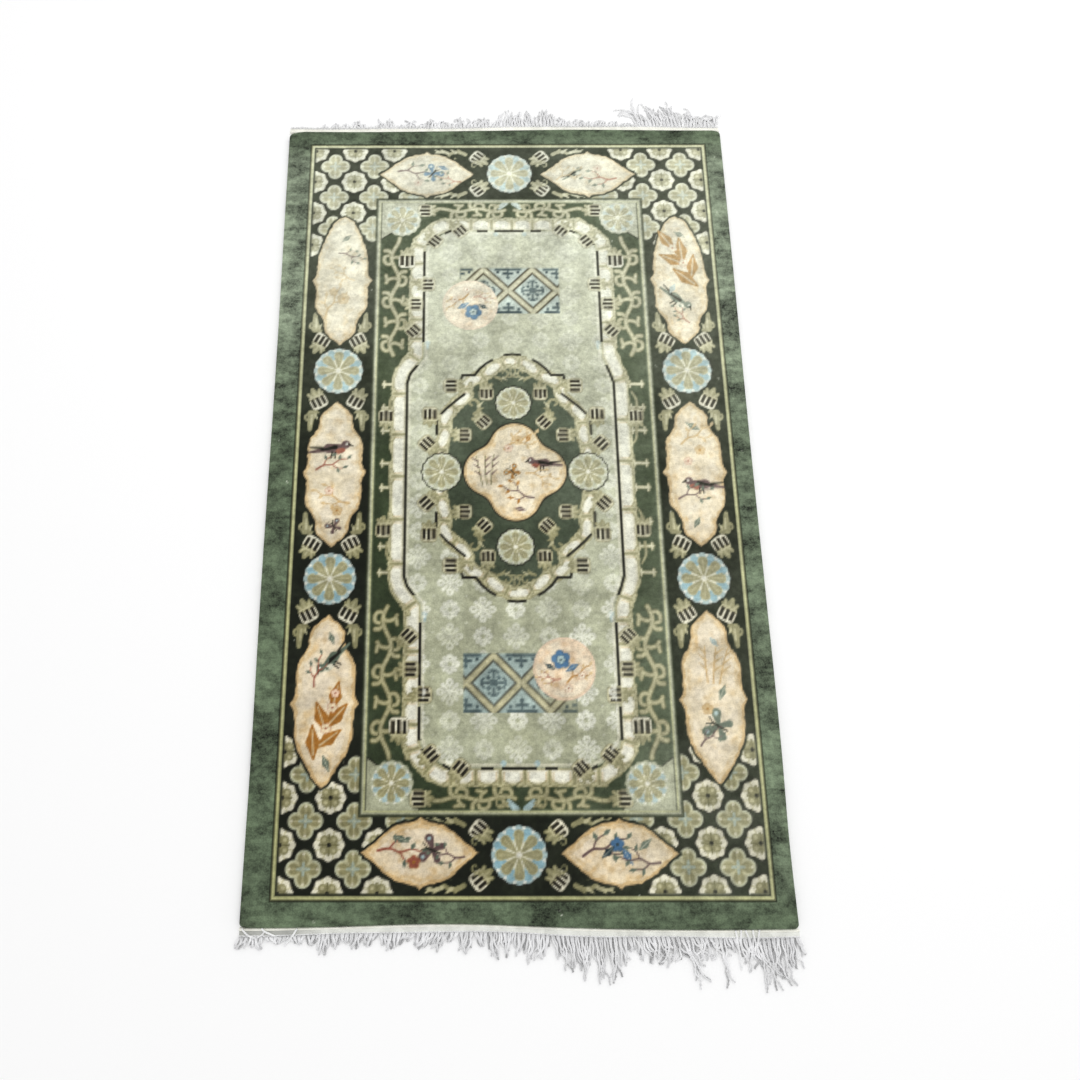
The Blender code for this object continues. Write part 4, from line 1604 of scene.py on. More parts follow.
@dataclass(frozen=True)
class CottonWarp:
    """Bleached cotton warp yarn: slightly dingy in patches, finely twisted."""

    light: Colour = (1.0, 1.0, 1.0, 1.0)
    dingy: Colour = (0.90, 0.90, 0.895, 1.0)
    twist: float = 900.0
    sheen: float = 0.2
    bump: float = 0.5
    bump_height: float = 0.0004

    def make(self, name: str) -> bpy.types.Material:
        """Makes the finish under a name."""
        g = Graph(name)
        place, yarn = g.piece_inputs()
        patch = g.span(g.noise(place, 45.0, 2.0), 0.35, 0.7)
        fibre = g.noise(place, self.twist, 1.0, (1.0, 0.5, 1.0))
        tone = g.mix(patch, self.light, self.dingy)
        colour = g.mix(1.0, tone, yarn, "MULTIPLY")
        g.set("Base Color", g.scaled(colour, 0.92 + fibre * 0.12))
        g.set("Roughness", 0.8 + fibre * 0.1)
        g.bump(fibre, self.bump_height, self.bump)
        g.set("Sheen Weight", self.sheen)
        return g.material


@dataclass(frozen=True)
class PaleFloor:
    """A plain, nearly white matt floor."""

    colour: Colour = (0.96, 0.96, 0.96, 1.0)
    roughness: float = 0.9

    def make(self, name: str) -> bpy.types.Material:
        """Makes the finish under a name."""
        g = Graph(name)
        g.set("Base Color", self.colour)
        g.set("Roughness", self.roughness)
        return g.material


@dataclass(frozen=True)
class Outline:
    """The rug's uneven outline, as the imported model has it, in metres."""

    half_width: float = 0.457
    half_length: float = 0.775
    near_swells: tuple[Swell, ...] = ((-0.120, -0.0065, 0.170), (0.300, 0.0025, 0.200))
    far_swells: tuple[Swell, ...] = ((0.150, 0.0030, 0.160), (-0.300, -0.0020, 0.150))
    left_swells: tuple[Swell, ...] = ((0.250, -0.0020, 0.300), (-0.500, -0.0015, 0.200))
    right_swells: tuple[Swell, ...] = ((0.050, -0.0015, 0.350), (-0.650, -0.0030, 0.120))
    corners: tuple[tuple[int, int, float, float], ...] = (
        (-1, -1, 0.012, 0.008), (1, -1, 0.010, 0.008), (1, 1, 0.018, 0.011), (-1, 1, 0.036, 0.014),
    )

    side_from: float = 0.41
    side_run: float = 0.047
    end_from: float = 0.735
    end_run: float = 0.04

    def out(self, swells: tuple[Swell, ...], at: np.ndarray) -> np.ndarray:
        """How far outwards an edge stands at these places along it."""
        return sum(out * np.exp(-(((at - middle) / spread) ** 2)) for middle, out, spread in swells)

    def reach_of_end(self, x: np.ndarray, end: int) -> np.ndarray:
        """How far out the near end, -1, or the far end, 1, stands at these x."""
        (_, _, left, _), (_, _, right, _) = [c for c in sorted(self.corners) if c[1] == end]
        held = np.clip(x, -self.half_width + left, self.half_width - right)
        return self.out(self.far_swells if end > 0 else self.near_swells, held)

    def end_y(self, x: np.ndarray, end: int) -> np.ndarray:
        """The y of the pile's near or far end at these x."""
        return end * (self.half_length + self.reach_of_end(x, end))

    def shape(self, x: np.ndarray, y: np.ndarray) -> tuple[np.ndarray, np.ndarray]:
        """Lays a plain rectangle's points into the uneven outline.

        Args:
            x: Across, in metres.
            y: Along, in metres.

        Returns:
            Across and along in the real outline.
        """
        for side, end, along_end, along_side in self.corners:
            s = (side * x - self.half_width + along_end) / along_end
            t = (end * y - self.half_length + along_side) / along_side
            inside = (s > 0) & (t > 0)
            s, t = np.maximum(s, TINY), np.maximum(t, TINY)
            pull = np.maximum(s, t) / np.hypot(s, t)
            x = np.where(inside, side * (self.half_width - along_end + along_end * s * pull), x)
            y = np.where(inside, end * (self.half_length - along_side + along_side * t * pull), y)
        side_share = ramp(np.abs(x), self.side_from, self.side_run) ** 1.5
        end_share = ramp(np.abs(y), self.end_from, self.end_run) ** 1.5
        out_x = np.where(x < 0, -self.out(self.left_swells, y), self.out(self.right_swells, y))
        out_y = np.where(y < 0, -self.reach_of_end(x, -1), self.reach_of_end(x, 1))
        return x + out_x * side_share, y + out_y * end_share


@dataclass
class KnotGrid:
    """The columns and rows that the pile's surface is built on, with its heights and colours.

    The rim's measures are in millimetres, and the thickness and the knots' unevenness in metres.
    """

    thickness: float = 0.010
    rim_radius: float = 3.5
    rim_insets: tuple[float, ...] = (0.0, 0.35, 1.1, 2.2, 3.6)
    columns: tuple[int, ...] = (20, 60, 200, 60, 16)
    rows: tuple[int, ...] = (16, 56, 444, 56, 16)
    coarse: int = 4
    # The pale colour that the painted sheen and glare haze the pile towards; random wear patches pale towards it
    # too.
    wear_and_sheen_haze: tuple[float, float, float] = (0.90, 0.92, 0.85)
    uneven: float = 0.00013
    most_uneven: float = 0.0003
    seed: int = 7
    xs: np.ndarray = field(init=False)
    ys: np.ndarray = field(init=False)
    places: np.ndarray = field(init=False)
    colours: np.ndarray = field(init=False)

    def __post_init__(self) -> None:
        """Lays out the grid, draws the design on it and shapes it."""
        frames = (EDGE_FRAME, BORDER_FRAME, INNER_FRAME)
        self.xs = self.lines([f.left for f in frames] + [f.right for f in frames[::-1]], self.columns)
        self.ys = self.lines([f.near for f in frames] + [f.far for f in frames[::-1]], self.rows)
        chart = Chart(self.xs, self.ys)
        RugDesign().draw(chart)
        x, y = np.meshgrid(self.xs, self.ys)
        # The chart's colours take their wear and a painted sheen and light.
        self.colours = linear_light(np.clip(self.wear_and_painted_light(chart.colour, x, y), 0, 1))
        across, along = Outline().shape(x * MM, y * MM)
        self.places = np.stack([across, along, self.heights(x, y, chart.depth)], -1)

    def lines(self, stops: list[float], counts: tuple[int, ...]) -> np.ndarray:
        """Grid lines between stops, with finer ones round both rims."""
        first, last = stops[0], stops[-1]
        insets = np.array(self.rim_insets)
        inner = [first + insets[-1], *stops[1:-1], last - insets[-1]]
        runs = [np.linspace(a, b, n + 1)[:-1] for a, b, n in zip(inner, inner[1:], counts)]
        return np.concatenate([first + insets[:-1], *runs, last - insets[::-1]])

    def heights(self, x: np.ndarray, y: np.ndarray, depth: np.ndarray) -> np.ndarray:
        """The pile's height in metres: rounded at the rim, carved, and never quite even."""
        inset = np.minimum(EDGE_FRAME.right - np.abs(x), EDGE_FRAME.far - np.abs(y))
        short = np.clip(self.rim_radius - inset, 0, self.rim_radius)
        drop = self.rim_radius - np.sqrt(self.rim_radius**2 - short**2)
        waves = 0.22 * patchy(x, y, 120.0, 21) + 0.14 * patchy(x, y, 34.0, 22)
        waves = waves + 0.10 * patchy(x, y, 9.0, 23)
        knots = np.random.default_rng(self.seed).normal(0, self.uneven, x.shape)
        knots = np.clip(knots, -self.most_uneven, self.most_uneven)
        return self.thickness - (drop + depth) * MM + ramp(inset, 0, self.rim_radius) * (waves * MM + knots)

    def wear_and_painted_light(self, colour: np.ndarray, x: np.ndarray, y: np.ndarray) -> np.ndarray:
        """Screen colours with wear, painted sheen and painted light: a painted sheen haze to the far end, a
        painted glare to the right, lit brighter there, and uneven in random patches.

        Args:
            colour: The chart's colours.
            x: Across, in millimetres.
            y: Along, in millimetres.

        Returns:
            The colours with their wear and their painted sheen and light.
        """
        # The pale colour of the painted sheen and glare, and of the random wear patches.
        wear_and_sheen_haze = np.array(self.wear_and_sheen_haze, np.float32)
        inside = ramp(-BORDER_FRAME.distance(x, y), 0, 6)
        within = ramp(-INNER_FRAME.distance(x, y), 0, 6)
        # The far end and the right side get a painted sheen haze and a painted brighter light.
        towards_far = ramp(y, -560, 1150) * inside
        towards_right = ramp(x, -60, 400) ** 1.5 * inside
        # Lighter yarns take more of the painted sheen.
        pale_yarn_weight = np.clip(1.5 * colour.mean(-1) - 0.2, 0, 1)
        share = 0.64 * towards_far**1.35 * pale_yarn_weight * (1 - 0.16 * towards_right)
        # Painted sheen on the darker yarns, from the middle to the far end.
        painted_sheen_on_darks = ramp(y, -60, 420) * inside * (1 - 0.75 * pale_yarn_weight)
        share = share + 0.25 * (1 - 0.35 * within) * painted_sheen_on_darks
        # Painted glare towards the right side.
        painted_glare_right = towards_right * (1 - 0.8 * towards_far) * (1 - 0.3 * pale_yarn_weight)
        share = share + 0.23 * (1 + 0.7 * within) * painted_glare_right
        # Painted sheen on the plain band, towards the far end and the right.
        rightwards = ramp(x, 0, 400)
        painted_band_sheen = (0.25 - 0.09 * rightwards) * ramp(y, 60, 280) + 0.09 * rightwards
        share = share + (1 - inside) * ramp(-np.abs(y), -760, 60) * painted_band_sheen
        # Random pale patches of wear.
        share = share + inside * (0.05 * patchy(x, y, 55.0, 31) + 0.03 * patchy(x, y, 7.0, 34))
        colour = colour + np.clip(share, 0, 1)[..., None] * (wear_and_sheen_haze - colour)
        beside = (1 - inside) * ramp(-np.abs(y + 40), -690, 120)
        # Painted light: brighter to the far end and to the right. The plain band is lighter, most of all along
        # its sides, and random patches vary the yarn's tone.
        lightness = 0.925 + 0.075 * towards_far + 0.02 * towards_right
        lightness = lightness + 0.065 * (1 - inside) + 0.06 * beside
        lightness = lightness + 0.045 * patchy(x, y, 26.0, 32) + 0.045 * patchy(x, y, 6.0, 33)
        return colour * lightness[..., None]

    def block(self, frame: Frame) -> Block:
        """The first and last column and row of a rectangle."""
        sides = ((self.xs, frame.left), (self.xs, frame.right), (self.ys, frame.near), (self.ys, frame.far))
        return tuple(int(np.argmin(np.abs(lines - stop))) for lines, stop in sides)


def loop_round(block: Block) -> list[tuple[int, int]]:
    """The row and column of each grid point round a block, counter-clockwise, closed."""
    left, right, near, far = block
    loop = [(near, i) for i in range(left, right)] + [(j, right) for j in range(near, far)]
    loop += [(far, i) for i in range(right, left, -1)] + [(j, left) for j in range(far, near, -1)]
    return [*loop, loop[0]]


@dataclass
class PilePiece:
    """One closed piece of the pile: its knotted face, its flat back and its walls."""

    name: str
    outer: Frame
    hole: Frame | None
    flat: tuple[float, float]
    area: float
    finish: SilkPile
    selvedge: bool = False

    def build(self, grid: KnotGrid) -> bpy.types.Object:
        """Builds the piece on the grid.

        Args:
            grid: The shared knot grid.

        Returns:
            The piece.
        """
        outer = grid.block(self.outer)
        hole = grid.block(self.hole) if self.hole else None
        verts: list[np.ndarray] = []
        colours: list[np.ndarray] = []
        top = self.number(grid, outer, hole, 1, 0)
        verts.append(grid.places[top >= 0])
        colours.append(grid.colours[top >= 0])
        back = self.number(grid, outer, hole, grid.coarse, len(verts[0]))
        under = grid.places[back >= 0].copy()
        under[:, 2] = 0.0
        verts.append(under)
        weft = linear_light(Yarn.WEFT_GREY.colour)
        colours.append(0.6 * self.averaged(grid)[back >= 0] + 0.4 * weft)
        faces = self.cells(top, outer, hole, 1)
        faces += [face[::-1] for face in self.cells(back, outer, hole, grid.coarse)]
        loop = loop_round(outer)
        rim = [int(top[j, i]) for j, i in loop]
        if self.selvedge:
            rim = self.add_selvedge(grid, loop, rim, verts, colours, faces)
        faces += self.walls(rim, [int(back[j, i]) for j, i in loop], grid.coarse)
        if hole:
            loop = loop_round(hole)[::-1]
            rim = [int(top[j, i]) for j, i in loop]
            faces += self.walls(rim, [int(back[j, i]) for j, i in loop], grid.coarse)
        finish = self.finish.make(self.name + "_silk")
        return make_piece(self.name, np.concatenate(verts), faces, np.concatenate(colours), finish)

    def number(self, grid: KnotGrid, outer: tuple, hole: tuple | None, step: int, first: int) -> np.ndarray:
        """Numbers the grid points that the piece uses, every step lines, and gives -1 elsewhere."""
        used = np.zeros(grid.places.shape[:2], bool)
        left, right, near, far = outer
        used[near : far + 1 : step, left : right + 1 : step] = True
        if hole:
            used[hole[2] + 1 : hole[3], hole[0] + 1 : hole[1]] = False
        numbers = np.full(used.shape, -1)
        numbers[used] = np.arange(used.sum()) + first
        return numbers

    def cells(self, numbers: np.ndarray, outer: tuple, hole: tuple | None, step: int) -> list[list[int]]:
        """The four corners of each grid cell of the piece, counter-clockwise from above."""
        left, right, near, far = outer
        j, i = np.mgrid[near:far:step, left:right:step]
        keep = np.ones(j.shape, bool)
        if hole:
            keep = ~((i >= hole[0]) & (i < hole[1]) & (j >= hole[2]) & (j < hole[3]))
        j, i = j[keep], i[keep]
        corners = (numbers[j, i], numbers[j, i + step], numbers[j + step, i + step], numbers[j + step, i])
        return np.stack(corners, -1).tolist()

    def walls(self, rim: list[int], foot: list[int], step: int) -> list[list[int]]:
        """Joins the fine rim above to the coarse one below, seen from outside."""
        return [
            [foot[k], foot[k + step], *reversed(rim[k : k + step + 1])]
            for k in range(0, len(rim) - 1, step)
        ]

    def averaged(self, grid: KnotGrid) -> np.ndarray:
        """The design as the back shows it, softened over neighbouring knots."""
        soft = grid.colours.copy()
        for axis in (0, 1):
            soft = (np.roll(soft, 1, axis) + soft + np.roll(soft, -1, axis)) / 3
        return soft

    def add_selvedge(
        self, grid: KnotGrid, loop: list, rim: list[int], verts: list, colours: list, faces: list
    ) -> list[int]:
        """Adds the overcast side cord below the pile's rim.

        Args:
            grid: The shared knot grid.
            loop: The row and column of each rim point.
            rim: The number of each rim point.
            verts: The piece's points so far, added to.
            colours: The points' colours so far, added to.
            faces: The piece's faces so far, added to.

        Returns:
            The numbers of the lowest ring's points.
        """
        places = np.array([grid.places[j, i] for j, i in loop[:-1]])
        ahead = np.roll(places, -1, 0) - np.roll(places, 1, 0)
        outwards = np.stack([ahead[:, 1], -ahead[:, 0]], -1)
        outwards /= np.maximum(np.linalg.norm(outwards, axis=1, keepdims=True), 1e-9)
        band = linear_light(Yarn.BAND_GREEN.colour)
        grey = linear_light(Yarn.WEFT_GREY.colour)
        for out, height, share in ((0.0004, 0.0042, 0.25), (0.0005, 0.0022, 0.5), (0.0, 0.0006, 0.6)):
            ring = places.copy()
            ring[:, :2] += outwards * out
            ring[:, 2] = height
            first = sum(len(v) for v in verts)
            verts.append(ring)
            colours.append(np.tile(band * (1 - share) + grey * share * 0.6, (len(ring), 1)))
            lower = [first + k for k in range(len(ring))]
            lower.append(first)
            faces += [[lower[k], lower[k + 1], rim[k + 1], rim[k]] for k in range(len(ring))]
            rim = lower
        return rim


def make_piece(
    name: str, verts: np.ndarray, faces: list, colours: np.ndarray, finish: bpy.types.Material
) -> bpy.types.Object:
    """Makes a mesh piece with a yarn colour at each point.

    Args:
        name: The piece's name.
        verts: Its points, in metres.
        faces: The point numbers of each face.
        colours: Each point's yarn colour, in linear light.
        finish: Its material.

    Returns:
        The piece.
    """
    mesh = bpy.data.meshes.new(name)
    mesh.from_pydata(verts.tolist(), [], faces)
    mesh.update()
    layer = mesh.color_attributes.new("yarn", "FLOAT_COLOR", "POINT")
    full = np.ones((len(verts), 4), np.float32)
    full[:, :3] = colours
    layer.data.foreach_set("color", full.ravel())
    mesh.shade_smooth()
    mesh.set_sharp_from_angle(angle=math.radians(50))
    mesh.materials.append(finish)
    piece = bpy.data.objects.new(name, mesh)
    bpy.context.scene.collection.objects.link(piece)
    return piece


@dataclass
class PileBody:
    """The knotted pile, in three closed pieces that share one grid."""

    node: str = "pile_body"
    slot: str = "silk_pile"

    def build(self) -> list[bpy.types.Object]:
        grid = KnotGrid()
        # The plain band has the strongest painted sheen patches.
        band = PilePiece("outer_plain_band", EDGE_FRAME, BORDER_FRAME, (0.048, 4.73), 0.190,
                         SilkPile(nap=0.60, grain=0.46), True)
        border = PilePiece("main_border_pile", BORDER_FRAME, INNER_FRAME, (0.832, 1.474), 0.565, SilkPile())
        inner = PilePiece("inner_field_pile", INNER_FRAME, None, (0.547, 1.209), 0.661,
                          SilkPile(nap=0.17, grain=0.22))
        made = []
        for part in (band, border, inner):
            piece = part.build(grid)
            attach(piece, "root")
            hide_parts(self.node)
            made.append(piece)
        return made


class YarnMesh:
    """Yarns gathered into one mesh, each a closed tube."""

    def __init__(self, sides: int) -> None:
        """Starts an empty mesh whose yarns have this many sides."""
        self.sides = sides
        self.count = 0
        self.points: list[np.ndarray] = []
        self.colours: list[np.ndarray] = []
        self.faces: list[list[int]] = []

    def add(self, line: np.ndarray, radius: np.ndarray, tone: np.ndarray) -> None:
        """Adds one yarn.

        Args:
            line: The points of its middle.
            radius: Its radius at each point.
            tone: Its colour at each point.
        """
        sides, rings = self.sides, len(line)
        run = np.gradient(line, axis=0)
        run /= np.maximum(np.linalg.norm(run, axis=1, keepdims=True), 1e-9)
        side = np.cross(run, (0.0, 0.0, 1.0))
        side /= np.maximum(np.linalg.norm(side, axis=1, keepdims=True), 1e-9)
        rise = np.cross(side, run)
        turns = np.arange(sides) * math.tau / sides
        ring = np.cos(turns)[None, :, None] * side[:, None, :]
        ring = ring + np.sin(turns)[None, :, None] * rise[:, None, :]
        points = line[:, None, :] + ring * radius[:, None, None]
        points[..., 2] = np.maximum(points[..., 2], 0.0)
        self.points.append(points.reshape(-1, 3))
        self.colours.append(np.repeat(tone, sides, 0))
        first = self.count
        for k in range(rings - 1):
            for s in range(sides):
                a, b = first + k * sides + s, first + k * sides + (s + 1) % sides
                self.faces.append([a, b, b + sides, a + sides])
        self.faces.append([first + s for s in range(sides)][::-1])
        self.faces.append([first + (rings - 1) * sides + s for s in range(sides)])
        self.count += rings * sides

    def make(self, name: str, finish: bpy.types.Material) -> bpy.types.Object:
        """Makes the piece under a name."""
        return make_piece(name, np.concatenate(self.points), self.faces, np.concatenate(self.colours), finish)


@dataclass(frozen=True)
class Tuft:
    """A bunch of the fringe, in millimetres: its place, its length, its lean to the right and its curl."""

    x: float
    half_width: float
    length: float
    lean: float = 0.0
    curl: float = 0.3


@dataclass(frozen=True)
class FringedEnd:
    """One end of the rug: a flat-woven strip, and the warps that run on from it as a fringe."""

    end: int
    name: str
    seed: int
    tufts: tuple[Tuft, ...]
    weft: Yarn
    outline: Outline = Outline()
    strip_width: float = 0.013
    clearance: float = 0.0003
    strip_wave: float = 0.0012
    strip_wave_pitch: float = 0.273
    weave_step: float = 0.00217
    knot_pitch: float = 0.0065
    locks: int = 118
    lock_width: float = 0.0030
    cords: int = 3
    yarns: int = 4
    rings: int = 14
    sides: int = 4
    yarn_radius: float = 0.00076
    cord_radius: float = 0.00098
    turn_length: float = 0.014
    longest: float = 0.083
    side_splay: float = 0.010
    broken: float = 0.15
    # How light the cords that lie under the others are: painted shade.
    under_shade: float = 0.66
    root_shade: float = 0.22
    tip_shade: float = 0.16
    # How dark the painted shadow under a lifted edge cord makes the strip's left end.
    curl_shadow: float = 0.45
    loose: tuple[tuple[float, float, float, float, float], ...] = ()

    def strip_profile(self) -> tuple[tuple[float, float, Yarn], ...]:
        """The strip across its width: share of the width, height in metres, and yarn."""
        return (
            (0.000, 0.0006, Yarn.WEFT_CREAM), (0.010, 0.0034, Yarn.WEFT_CREAM),
            (0.090, 0.0050, Yarn.WEFT_CREAM),
            (0.190, 0.0054, Yarn.WEFT_CREAM), (0.290, 0.0047, Yarn.WEFT_CREAM), (0.350, 0.0030, self.weft),
            (0.430, 0.0032, self.weft), (0.520, 0.0030, self.weft), (0.610, 0.0034, self.weft),
            (0.700, 0.0030, self.weft), (0.780, 0.0032, self.weft), (0.840, 0.0038, Yarn.KNOT_WHITE),
            (0.910, 0.0042, Yarn.KNOT_WHITE), (0.970, 0.0034, Yarn.KNOT_WHITE),
            (1.000, 0.0010, Yarn.KNOT_WHITE),
        )

    def outer_y(self, x: np.ndarray, share: float) -> np.ndarray:
        """The y of a line along the strip, a share of the way to its outer edge."""
        wave = self.strip_wave * np.sin(math.tau * x / self.strip_wave_pitch + self.end)
        out = self.clearance + share * (self.strip_width + wave)
        return self.outline.end_y(x, self.end) + self.end * out

    def build_strip(self, finish: bpy.types.Material) -> bpy.types.Object:
        """Builds the woven strip as one closed piece."""
        profile = self.strip_profile()
        half = self.outline.half_width
        x = np.linspace(-half, half, int(round(2 * half / self.weave_step)) + 1)
        rng = np.random.default_rng(self.seed + 50)
        verts, colours = [], []
        for share, height, yarn in profile:
            y = self.outer_y(x, share)
            weave = 0.00022 * np.sin(math.tau * (x / self.weave_step / 2.02 + share * 7))
            knot = 0.0011 * np.cos(math.tau * x / self.knot_pitch) if share > 0.8 else 0.0
            lift = rng.normal(0, 0.00012, x.shape) + weave + knot
            z = np.maximum(height + np.where(height > 0.0012, lift, 0.0), 0.0005)
            verts.append(np.stack([x, y, z], -1))
            tone = linear_light(yarn.colour) * (1 + 0.08 * patchy(x / MM, y / MM, 9.0, self.seed))[:, None]
            # Painted shadow: the woven band darkens towards the left end, as under a lifted edge cord.
            if 0.32 < share < 0.8:
                tone = tone * (1 - self.curl_shadow * np.clip((-0.30 - x) / 0.08, 0, 1))[:, None]
            colours.append(tone * np.array((0.92, 0.92, 0.92)) if share > 0.8 else tone)
        for share in (1.0, 0.0):
            y = self.outer_y(x, share)
            verts.append(np.stack([x, y, np.zeros_like(x)], -1))
            colours.append(np.tile(linear_light(Yarn.WEFT_GREY.colour), (len(x), 1)))
        count, rows = len(x), len(verts)
        faces = []
        for row in range(rows):
            low, high = row * count, (row + 1) % rows * count
            for k in range(count - 1):
                face = [low + k, low + k + 1, high + k + 1, high + k]
                faces.append(face if self.end > 0 else face[::-1])
        first = [row * count for row in range(rows)]
        last = [row * count + count - 1 for row in range(rows)]
        faces += [first, last[::-1]] if self.end > 0 else [first[::-1], last]
        name = self.name + "_end_strip"
        return make_piece(name, np.concatenate(verts), faces, np.concatenate(colours), finish)

    def build_fringe(self, finish: bpy.types.Material) -> bpy.types.Object:
        """Builds the fringe: locks of twisted cords that start at the strip's knots."""
        rng = random.Random(self.seed)
        half = self.outline.half_width
        pitch = (2 * half - self.lock_width) / (self.locks - 1)
        mesh = YarnMesh(self.sides)
        for lock in range(self.locks):
            for cord in range(self.cords):
                root = -half + self.lock_width / 2 + pitch * (lock + (cord - 1) / self.cords)
                self.grow_cord(rng, mesh, min(max(root, -half + 0.002), half - 0.002), cord == 1)
        for x, share, heading, length, curl in self.loose:
            start = (x, float(self.outer_y(np.array([x]), share)[0]), 0.0062)
            waviness = (rng.uniform(0.1, 0.3), rng.uniform(0.8, 1.6), rng.uniform(0, math.tau))
            bends = (math.radians(heading), curl, *waviness)
            self.lay_cord(rng, mesh, start, length, bends, np.full(self.rings, 1.06))
        return mesh.make(self.name + "_fringe", finish)

    def grow_cord(self, rng: random.Random, mesh: YarnMesh, root: float, under: bool) -> None:
        """Grows one cord from its root along its tuft.

        Args:
            rng: The seeded random source.
            mesh: The mesh that the cord is added to.
            root: The x of the cord's root.
            under: Whether it lies under its neighbours.
        """
        tuft = min(self.tufts, key=lambda each: abs(root / MM - each.x) / each.half_width)
        aside = root / MM - tuft.x
        share = min(1.0, abs(aside) / tuft.half_width)
        length = tuft.length * (1 - 0.34 * share**2) * rng.uniform(0.84, 1.04)
        if rng.random() < self.broken:
            length *= rng.uniform(0.45, 0.8)
        length = min(length * MM, self.longest)
        heading = math.atan2(tuft.lean - 0.7 * aside, tuft.length)
        sway = rng.uniform(0.15, 0.60)
        turns = length / 0.026 * rng.uniform(0.7, 1.4)
        curl = rng.choice((-1, 1)) * tuft.curl * rng.uniform(0.4, 1.8)
        start = (root, float(self.outer_y(np.array([root]), 0.93)[0]), 0.0020 if under else 0.0034)
        # Painted shade: cords that lie under their neighbours are darker.
        tone = self.under_shade * rng.uniform(0.8, 1.25) if under else rng.uniform(0.92, 1.06)
        t = np.linspace(0, 1, self.rings)
        # Painted shade at the roots, deepest at the near left, and darker tips.
        dark = self.root_shade * (2.2 if root < -0.33 else 1.0) * np.exp(-9 * t) + self.tip_shade * t**3
        bends = (heading, curl, sway, turns, rng.uniform(0, math.tau))
        self.lay_cord(rng, mesh, start, length, bends, tone * (1 - np.clip(dark, 0, 0.7)))

    def lay_cord(
        self, rng: random.Random, mesh: YarnMesh, start: tuple[float, float, float], length: float,
        bends: tuple[float, float, float, float, float], tone: np.ndarray,
    ) -> None:
        """Lays one twisted cord down on the floor.

        Args:
            rng: The seeded random source.
            mesh: The mesh that the cord is added to.
            start: Where it starts.
            length: Its length.
            bends: Its heading, its curl at the tip, and the sway, waves and phase of its waviness.
            tone: How light it is at each ring.
        """
        heading, curl, sway, turns, phase = bends
        t = np.linspace(0, 1, self.rings)
        middle = (t[1:] + t[:-1]) / 2
        way = heading * (0.5 + middle) + sway * np.sqrt(middle) * np.sin(phase + math.tau * turns * middle)
        way = way + curl * middle**1.8
        step = length / (self.rings - 1)
        x = start[0] + np.concatenate([[0.0], np.cumsum(np.sin(way)) * step])
        y = start[1] + self.end * np.concatenate([[0.0], np.cumsum(np.cos(way)) * step])
        limit = self.outline.half_width + self.side_splay - self.cord_radius - self.yarn_radius
        x = np.clip(x, -limit, limit)
        high = rng.uniform(0.0016, 0.0036) if start[2] > 0.0025 else 0.0003
        lift = (start[2] - self.cord_radius) * (1 - t) ** 3 + high * np.sin(math.pi * t**0.8)
        side = np.stack([np.gradient(y), -np.gradient(x)], -1)
        side /= np.maximum(np.linalg.norm(side, axis=1, keepdims=True), 1e-9)
        twist = math.tau * (length / self.turn_length) * t + rng.uniform(0, math.tau)
        shade = linear_light(Yarn.KNOT_WHITE.colour) * tone[:, None]
        for index in range(self.yarns):
            angle = twist + math.tau * index / self.yarns
            spread = self.cord_radius * (1 - 0.1 * t) + 0.0007 * rng.random() * t**3
            out = spread * np.cos(angle)
            z = self.yarn_radius + lift + spread * (1 + np.sin(angle))
            line = np.stack([x + side[:, 0] * out, y + side[:, 1] * out, z], -1)
            radius = self.yarn_radius * (1.0 - 0.25 * t**4)
            mesh.add(line, radius, np.minimum(shade * rng.uniform(0.90, 1.06), 1.0))

    def build(self) -> list[bpy.types.Object]:
        finish = CottonWarp().make(self.name + "_cotton")
        strip, fringe = self.build_strip(finish), self.build_fringe(finish)
        for piece in (strip, fringe):
            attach(piece, "root")
            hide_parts(self.name + "_fringed_end")
        return [strip, fringe]


